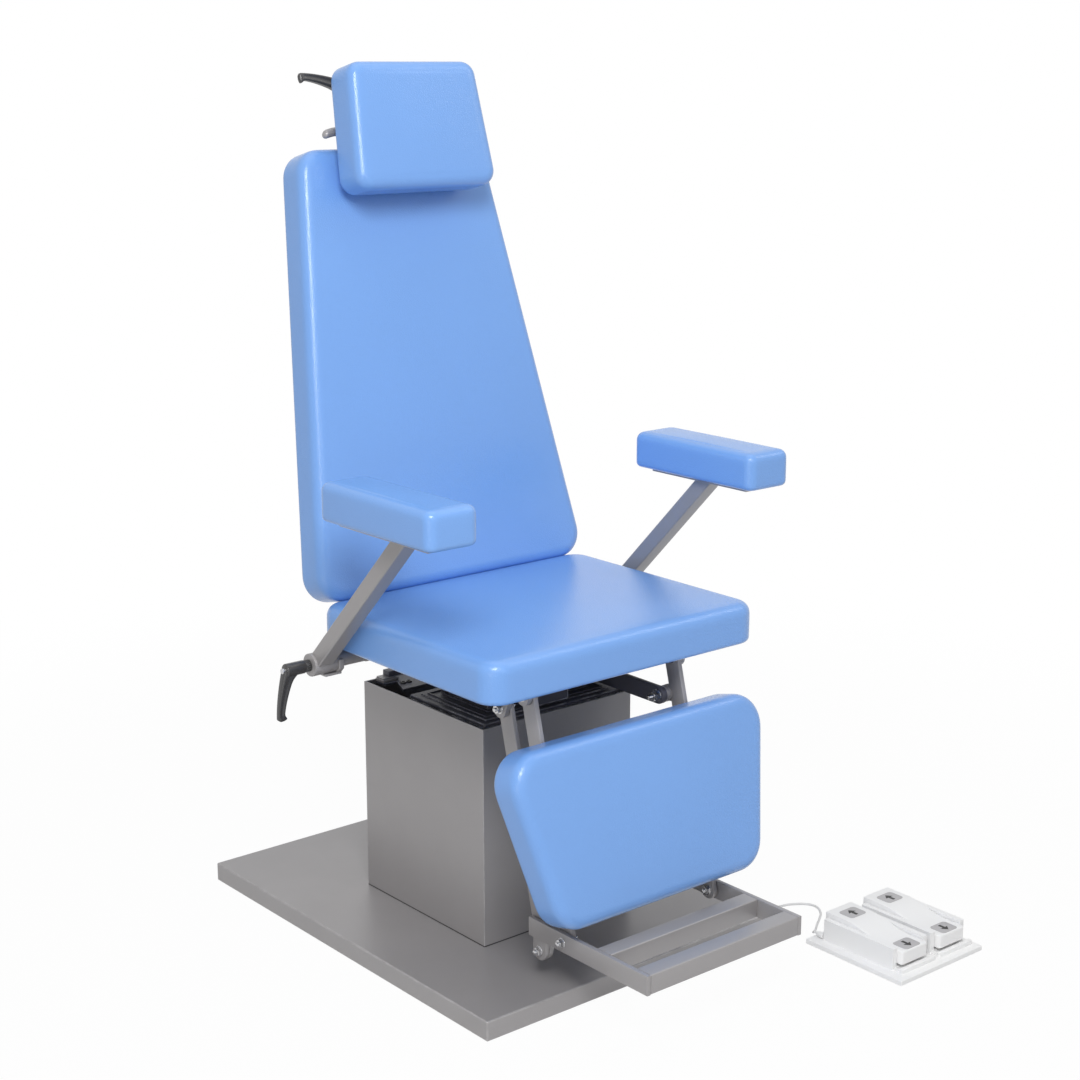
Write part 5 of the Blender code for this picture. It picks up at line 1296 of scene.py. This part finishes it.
@dataclass
class ArmRest:
    """One arm: its hub and slanting tube, the plate under its cushion and the clamp lever.

    Attributes:
        label: "left" or "right".
        side: 1 on the left, -1 on the right.
        screw_head: Heights and radii of the screws under the plate.
        screw_places: Their distances from the plate's front and rear.
    """

    label: str
    side: int
    hub_x: Pair = (0.274, 0.316)
    hub_radius: float = 0.018
    hub_bevel: float = 0.0012
    tube_middle: float = 0.2975
    tube_half: Pair = (0.0145, 0.01275)
    tube_corner: float = 0.0028
    lean: float = math.radians(44.4)
    screw_head: Sequence[Pair] = ((0.0, 0.0052), (0.0012, 0.0052), (0.0024, 0.0042), (0.0030, 0.0020))
    screw_places: Pair = (0.022, 0.030)

    def build(self) -> None:
        """Makes the hub, the tube, the plate with its screws and the lever."""
        plate = f"arm_plate_{self.label}"
        (self.hub() + self.tube()).add(f"arm_tube_painted_{self.label}", STEEL, f"arm_tube_{self.label}")
        softened(plate, STEEL, 0.0008)
        self.plate_screws(plate)
        turn = Matrix(((0, 0, self.side), (0, -self.side, 0), (-1, 0, 0))).to_4x4()
        place = (self.side * (self.hub_x[1] + SEAT_FIT), *joint_place("recline")[1:])
        ClampLever(f"arm_lever_{self.label}", Matrix.Translation(place) @ turn).build()

    def hub(self) -> Surface:
        """The round hub: a barrel with bevelled ends and a shallow face."""
        radius, bevel = self.hub_radius, self.hub_bevel
        end = [(0.0, radius - bevel), (bevel * 0.3, radius - bevel * 0.3), (bevel, radius)]
        place = cross_frame(self.side * self.hub_x[0], joint_place("recline")[1:], self.side)
        return revolved(both_ends(end, self.hub_x[1] - self.hub_x[0]), 64).placed(place)

    def tube(self) -> Surface:
        """The slanting tube: a soft rectangle carried up from the hub's axis, cut level under the plate."""
        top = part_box(f"arm_plate_{self.label}")[0].z - SEAT_FIT
        outline = rounded_rectangle(*self.tube_half, self.tube_corner)(0.0)
        run = np.array([0.0, -math.sin(self.lean), math.cos(self.lean)])
        across = np.array([(1.0, 0.0, 0.0), (0.0, math.cos(self.lean), math.sin(self.lean))])
        section = joint_place("recline") + (self.side * self.tube_middle, 0.0, 0.0) + outline @ across
        reach = (top - section[:, 2]) / run[2]
        share = np.linspace(0.0, 1.0, 5)[:, None, None]
        return loft(section[None] + share * reach[None, :, None] * run)

    def plate_screws(self, plate: str) -> None:
        """Two screw heads under the plate, which hold the cushion."""
        low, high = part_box(plate)
        middle = (low.x + high.x) / 2
        places = (low.y + self.screw_places[0], high.y - self.screw_places[1])
        front, rear = (revolved(self.screw_head, 32).placed(axis_frame((middle, y, low.z), (0, 0, -1)))
                       for y in places)
        (front + rear).add(f"arm_plate_screws_{self.label}", ZINC, body=node_body(plate))


@dataclass
class HingeLine:
    """The tube under the seat's rear, its brackets, and the frame of the backrest."""

    tube_radius: float = 0.010
    sleeve_radius: float = 0.0125
    sleeve_length: float = 0.110
    sleeve_bevel: float = 0.0008
    ring_radius: float = 0.0138
    ring_bevel: float = 0.0006
    bracket_drop: float = 0.0076
    bracket_edge: float = 0.0008
    block_x: Pair = (0.2645, 0.2737)
    block_half: float = 0.019
    block_span: Pair = (-0.0180, 0.004)
    block_edge: float = 0.0010
    chamfer: float = 0.008
    shoe_x: Pair = (0.2655, 0.2960)
    shoe_half: float = 0.013
    shoe_span: Pair = (-0.0200, -0.0165)

    def build(self) -> None:
        """Dresses the tube, the brackets, the backrest's frame and the drive."""
        self.tube()
        softened("seat_board", PLY, 0.0008)
        for label in SIDES:
            self.bracket(f"tube_bracket_{label}")
            softened(f"backrest_upright_{label}", STEEL, 0.0010)
        softened("hinge_sleeve", STEEL, 0.0006)
        for node in ("backrest_crossbar", "headrest_guide", "headrest_post", "headrest_bracket"):
            softened(node, STEEL, 0.0008)
        softened("recline_actuator", BLACK, 0.0010)
        softened("recline_rod", ZINC, 0.0006)

    def tube(self) -> None:
        """The cross tube, with a chamfered block and a flat shoe at each end."""
        y, z = joint_place("recline")[1:]
        low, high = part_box("cross_tube")
        thick, end = self.sleeve_radius, self.sleeve_length
        profile = [(0.0, thick), (end - self.sleeve_bevel, thick), (end, self.tube_radius)]
        metal = revolved(both_ends(profile, high.x - low.x)).placed(cross_frame(low.x, (y, z)))
        half, cut = self.block_half, self.chamfer
        below, above = self.block_span
        block = [(-half, below + cut), (cut - half, below), (half - cut, below), (half, below + cut),
                 (half, above), (-half, above)]
        wide, (sole, top) = self.shoe_half, self.shoe_span
        shoe = [(-wide, sole), (wide, sole), (wide, top), (-wide, top)]
        for side in SIDES.values():
            for corners, span in ((block, self.block_x), (shoe, self.shoe_x)):
                outline = convex([(y + a, z + b) for a, b in corners])
                metal = metal + side_plate(outline, (side * x for x in span), self.block_edge)
        metal.add("cross_tube_painted", STEEL, "cross_tube")

    def bracket(self, node: str) -> None:
        """A flat bar close under the seat board, with a ring round the cross tube."""
        low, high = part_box(node)
        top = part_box("seat_board")[0].z - SEAT_FIT
        y, z = joint_place("recline")[1:]
        corners = [(low.y, top - self.bracket_drop), (y, top - self.bracket_drop), (y, top), (low.y, top)]
        end = [(0.0, self.ring_radius - self.ring_bevel), (self.ring_bevel, self.ring_radius)]
        ring = revolved(both_ends(end, high.x - low.x)).placed(cross_frame(low.x, (y, z)))
        bar = side_plate(convex(corners), (low.x, high.x), self.bracket_edge)
        (bar + ring).add(f"{node}_painted", STEEL, node)


@dataclass
class HeadrestMount:
    """The tilt rod behind the headrest and its clamp lever."""

    lean: float = math.radians(12.9)
    rod_reach: float = 0.009
    bend_x: float = -0.115
    bend_radius: float = 0.010
    bend: float = math.tan(math.radians(17))

    def rod(self) -> Surface:
        """The tilt rod along X: circles whose middle drops at the right end, with domed ends.

        Past the bend the middle falls with the root of the squared distance and the bend's radius, which
        rounds the knee, and near both ends the radius follows a quarter circle.
        """
        low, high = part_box("headrest_rod")
        start, end = low.x - self.rod_reach, high.x
        radius = (high.z - low.z) / 2
        x = start + (end - start) * (1 - np.cos(np.linspace(0.0, math.pi, 97))) / 2
        short = np.clip(radius - np.minimum(x - start, end - x), 0.0, radius * 0.98)
        radii = np.sqrt(radius ** 2 - short ** 2)
        past = self.bend_x - x
        drop = self.bend * (past + np.hypot(past, self.bend_radius)) / 2
        place = joint_place("headrest_tilt")
        middles = np.stack([np.full_like(x, place[1]), place[2] - drop], axis=1)
        sections = middles[:, None] + radii[:, None, None] * on_circle(round_turn(40))
        return loft(np.roll(raised(sections, x), 1, axis=2))

    def build(self) -> None:
        """Makes the rod and the lever on the clamp's screw."""
        self.rod().add("headrest_rod_painted", STEEL, "headrest_rod")
        out = Vector((0.0, math.sin(self.lean), math.cos(self.lean)))
        along = Vector((-1, 0, 0))
        turned = Matrix((along, out.cross(along), out)).transposed().to_4x4()
        ClampLever("headrest_lever", Matrix.Translation(joint_place("headrest_clamp_turn")) @ turned).build()


@dataclass
class FootPedal:
    """The twin foot pedal: its base, its rockers and the direction signs on them.

    The heights and the y places of a rocker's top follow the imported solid: a level rear, an S-curve and a
    level front.
    """

    half_width: float = 0.030
    underside: float = 0.018
    tops: Pair = (0.039, 0.052)
    slope_y: Pair = (-0.585, -0.500)
    lip_half: float = 0.0399
    lip_span: Sequence[Pair] = ((-0.6282, 0.0060), (-0.6205, 0.0155))
    lip_edge: float = 0.0010
    front_corner: float = 0.0045
    rear_corner: float = 0.0025
    edge: float = 0.0018
    sign_half: Pair = (0.0182, 0.0150)
    sign_corner: float = 0.0062
    sign_thickness: float = 0.0004
    sign_edge: float = 0.0001
    sign_y: Pair = (-0.6015, -0.4905)
    arrow_length: float = 0.0190
    arrow_stem: float = 0.0027
    arrow_head: float = 0.0090
    arrow_wing: float = 0.0080
    ink_thickness: float = 0.0002

    def build(self) -> None:
        """Rounds the base's mouldings, makes the rockers and lays a sign on both ends of each."""
        softened("pedal_base", WHITE, 0.0012)
        softened("pedal_strain_relief", WHITE, 0.0005)
        softened("cord_gland", LEVER, 0.0005)
        for label in SIDES:
            node = f"pedal_rocker_{label}"
            low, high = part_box(node)
            middle = (low.x + high.x) / 2
            self.rocker(low.y, high.y).at((middle, 0.0, 0.0)).add(f"{node}_moulding", WHITE, node)
            ends = [(middle + side * self.lip_half, *place) for side, place in zip((-1, 1), self.lip_span)]
            rounded_box(*ends, self.lip_edge).add(f"pedal_lip_{label}", WHITE, body="base")
            self.sign(f"rear_{label}", (middle, self.sign_y[1], self.tops[1]), 1, node_body(node))
            self.sign(f"front_{label}", (middle, self.sign_y[0], self.tops[0]), -1, node_body(node))

    @staticmethod
    def rounding(away: np.ndarray, radius: float) -> np.ndarray:
        """How far a quarter circle falls back at some distances from where it starts."""
        short = np.clip(radius - away, 0.0, radius)
        return radius - np.sqrt(radius ** 2 - short ** 2)

    def rocker(self, front: float, rear: float) -> Surface:
        """A rocker about x = 0: a box section with soft upper edges, carried from front to rear.

        The top falls from the rear height to the front height with half a cosine wave. Near both ends the
        half width follows a quarter circle, so the upright corners are round, and the top drops by one too.

        Args:
            front: The y place of its front end.
            rear: The y place of its rear end.

        Returns:
            The closed surface.
        """
        y = front + (rear - front) * (1 - np.cos(np.linspace(0.0, math.pi, 121))) / 2
        share = np.clip((y - self.slope_y[0]) / (self.slope_y[1] - self.slope_y[0]), 0.0, 1.0)
        top = self.tops[0] + (self.tops[1] - self.tops[0]) * (1 - np.cos(math.pi * share)) / 2
        half = np.full_like(y, self.half_width)
        for away, corner in ((y - front, self.front_corner), (rear - y, self.rear_corner)):
            half = half - self.rounding(away, corner)
            top = top - self.rounding(away, self.edge)
        arc = self.edge * (1 - on_circle(quarter_turn(6)))
        right = half[:, None] - arc[None, :, 0]
        rise = top[:, None] - arc[None, :, 1]
        flat = (1 - 2 * np.linspace(0.1, 0.9, 9))[None] * (half - self.edge)[:, None]
        x = np.hstack([-half[:, None], half[:, None], right, flat, -right[:, ::-1]])
        low = np.full((len(y), 2), self.underside)
        z = np.hstack([low, rise, np.broadcast_to(top[:, None], flat.shape), rise[:, ::-1]])
        return loft(np.stack([x, np.broadcast_to(y[:, None], x.shape), z], axis=2))

    def sign(self, name: str, place: Triple, heading: int, body: str) -> None:
        """One grey film square with a black arrow along Y.

        Args:
            name: The rocker's end and side, for the names of the pieces.
            place: The middle of the sign, on the rocker's top.
            heading: 1 for an arrow to the rear, -1 for one to the front.
            body: The body that it moves with.
        """
        plan = rounded_rectangle(*self.sign_half, self.sign_corner)
        film = levelled(plan, soft_levels(self.sign_thickness, self.sign_edge, 3))
        film.at(place).add(f"pedal_sign_{name}", SIGN, body=body)
        above = Vector(place) + Vector((0, 0, self.sign_thickness))
        self.arrow(heading).at(above).add(f"pedal_arrow_{name}", INK, body=body)

    def arrow(self, heading: int) -> Surface:
        """An arrow along Y: a straight stem and a three-cornered head, as one outline."""
        half, stem, wing = self.arrow_length / 2, self.arrow_stem, self.arrow_wing
        neck = half - self.arrow_head
        points = [(-stem, -half), (stem, -half), (stem, neck), (wing, neck), (0.0, half), (-wing, neck),
                  (-stem, neck)]
        flat = np.array(points) * heading
        return levelled(lambda inset: flat, np.array([(0.0, 0.0), (0.0, self.ink_thickness)]))


@dataclass
class PedalCord:
    """The short lead on the floor between the pedal and the base plate."""

    diameter: float = 0.0038
    floor: float = 0.0022
    split: int = 3

    def route(self) -> np.ndarray:
        """The listed points that the lead passes through."""
        lie = self.floor
        return np.array([
            (0.3140, -0.4487, 0.01360), (0.3143, -0.4440, 0.01300), (0.3215, -0.4358, 0.00750),
            (0.3389, -0.4247, lie), (0.3549, -0.4134, lie), (0.3752, -0.4003, lie), (0.3928, -0.3872, lie),
            (0.4046, -0.3714, lie), (0.4071, -0.3579, lie), (0.4019, -0.3469, lie), (0.3945, -0.3392, lie),
            (0.3760, -0.3284, lie), (0.3530, -0.3236, lie), (0.3340, -0.3222, 0.00500),
            (0.3190, -0.3220, 0.01250), (0.3126, -0.3220, 0.01400),
        ])

    def smooth(self) -> np.ndarray:
        """The curve through the route: between two points a cubic whose slopes follow their neighbours."""
        points = self.route()
        padded = np.vstack([2 * points[0] - points[1], points, 2 * points[-1] - points[-2]])
        before, start, end, after = (padded[k:len(padded) - 3 + k, None] for k in range(4))
        t = np.linspace(0.0, 1.0, self.split, endpoint=False)[None, :, None]
        swing = (end - before) * t + (2 * before - 5 * start + 4 * end - after) * t ** 2
        curve = start + (swing + (3 * (start - end) + after - before) * t ** 3) / 2
        return np.vstack([curve.reshape(-1, 3), points[-1:]])

    def build(self) -> None:
        points = self.smooth()
        data = bpy.data.curves.new("pedal_lead", "CURVE")
        data.dimensions = "3D"
        data.bevel_depth = self.diameter / 2
        data.bevel_resolution = 5
        data.use_fill_caps = True
        spline = data.splines.new("POLY")
        spline.points.add(len(points) - 1)
        spline.points.foreach_set("co", np.column_stack([points, np.ones(len(points))]).ravel())
        lead = bpy.data.objects.new("pedal_lead", data)
        bpy.context.scene.collection.objects.link(lead)
        dress(lead, CORD, "pedal_cord", body="base")


@dataclass(frozen=True)
class Lamp:
    """A soft light panel: its name, the place of its middle, its width and height, and its power in watts."""

    name: str
    place: Triple
    size: Pair
    power: float


@dataclass
class Studio:
    """The camera, the soft lights, the white surroundings and the floor."""

    camera_place: Triple = (-1.8795, -2.3885, 1.3672)
    camera_aim: Triple = (-0.0821, -0.2320, 0.6828)
    lens: float = 65.12
    sensor: float = 36.0
    lamp_aim: Triple = (0.0, -0.1, 0.6)
    lamps: Sequence[Lamp] = (
        Lamp("front_light", (-0.4, -3.3, 1.95), (0.10, 1.8), 6.0),
        Lamp("corner_light", (-1.6, -2.0, 2.7), (1.1, 1.1), 65.0),
        Lamp("low_light", (-2.9, -1.9, 0.6), (1.6, 0.8), 9.0),
        Lamp("top_light", (0.2, 0.1, 3.4), (2.4, 2.4), 14.0),
        Lamp("right_light", (2.0, -1.1, 2.7), (0.36, 1.4), 8.0),
    )
    floor_z: float = -0.0004
    floor_size: float = 60.0
    floor_tone: float = 0.70
    shade: float = 0.03
    shade_reach: Pair = (0.9, 2.2)
    world_level: float = 0.33

    def build(self) -> None:
        """Sets up everything round the chair."""
        self.camera()
        self.world()
        self.floor()
        for lamp in self.lamps:
            self.light(lamp)
        bpy.context.scene.view_settings.view_transform = "Standard"

    @staticmethod
    def aimed(data: bpy.types.ID, place: Triple, aim: Triple) -> bpy.types.Object:
        """Puts a camera or a lamp at a place and turns it towards an aim."""
        item = bpy.data.objects.new(data.name, data)
        bpy.context.scene.collection.objects.link(item)
        item.location = place
        item.rotation_euler = (Vector(aim) - Vector(place)).to_track_quat("-Z", "Y").to_euler()
        return item

    def camera(self) -> None:
        """The camera at the photograph's place."""
        data = bpy.data.cameras.new("photo_camera")
        data.lens = self.lens
        data.sensor_width = self.sensor
        bpy.context.scene.camera = self.aimed(data, self.camera_place, self.camera_aim)

    def light(self, lamp: Lamp) -> None:
        """A soft light panel that faces the middle of the chair."""
        data = bpy.data.lights.new(lamp.name, "AREA")
        data.shape = "RECTANGLE"
        data.size, data.size_y = lamp.size
        data.energy = lamp.power
        self.aimed(data, lamp.place, self.lamp_aim)

    @staticmethod
    def shown(sheet: ShaderSheet) -> bpy.types.NodeSocket:
        """1 on rays that show the surroundings: from the camera, in gloss or through glass."""
        path = sheet.node("ShaderNodeLightPath").outputs
        seen = sheet.maths("MAXIMUM", path["Is Camera Ray"], path["Is Glossy Ray"])
        return sheet.maths("MAXIMUM", seen, path["Is Transmission Ray"])

    def world(self) -> None:
        """White where it shows, and a plain soft light elsewhere."""
        world = bpy.data.worlds.new("white_surroundings")
        world.use_nodes = True
        bpy.context.scene.world = world
        sheet = ShaderSheet(world.node_tree)
        rest = sheet.maths("SUBTRACT", 1.0, self.shown(sheet))
        level = sheet.maths("SUBTRACT", 1.0, sheet.maths("MULTIPLY", rest, 1.0 - self.world_level))
        sheet.fill(world.node_tree.nodes["Background"], {"Color": (1.0, 1.0, 1.0, 1.0), "Strength": level})

    def floor(self) -> None:
        """A wide pale floor that keeps a soft shadow."""
        half = self.floor_size / 2
        corners = np.array([(-half, -half), (half, -half), (half, half), (-half, half)])
        points = np.column_stack([corners, np.full(4, self.floor_z)])
        floor = Surface(points, [np.array([[0, 1, 2, 3]])]).to_object("pale_floor", Shading.SMOOTH)
        made = bpy.data.materials.new("pale_floor")
        made.use_nodes = True
        nodes, sheet = made.node_tree.nodes, ShaderSheet(made.node_tree)
        sheet.fill(nodes["Principled BSDF"], {"Base Color": (*[self.floor_tone] * 3, 1.0), "Roughness": 0.9,
                                              "Specular IOR Level": 0.0})
        glow = sheet.node("ShaderNodeEmission").outputs[0]
        away = sheet.node("ShaderNodeVectorMath", {0: sheet.spot()}, operation="LENGTH").outputs["Value"]
        near, far = self.shade_reach
        limits = {"Value": away, "From Min": near, "From Max": far, "To Min": 1.0 - self.shade, "To Max": 1.0}
        white = sheet.node("ShaderNodeMapRange", limits, interpolation_type="SMOOTHSTEP").outputs[0]
        share = sheet.maths("MULTIPLY", self.shown(sheet), white)
        layers = {0: share, 1: nodes["Principled BSDF"].outputs[0], 2: glow}
        mixed = sheet.node("ShaderNodeMixShader", layers).outputs[0]
        sheet.fill(nodes["Material Output"], {"Surface": mixed})
        floor.data.materials.append(made)


class Assembly(Protocol):
    """A part of the chair or its surroundings that builds itself."""

    def build(self) -> None:
        """Makes, places and dresses the part's pieces."""


def assemblies() -> Iterable[Assembly]:
    """The chair's parts, in the order in which they are built."""
    yield from (Studio(), FootPedal(), PedalCord(), ColumnAndBase(), LegLinkage(), HingeLine())
    yield HeadrestMount()
    yield from (ArmRest(label, side) for label, side in SIDES.items())
    yield Upholstery()


def main() -> None:
    """Builds every part of the chair and its surroundings."""
    logging.basicConfig(level=logging.INFO, format="%(message)s")
    for part in assemblies():
        log.info("building %s", type(part).__name__)
        part.build()


if __name__ == "__main__":
    main()
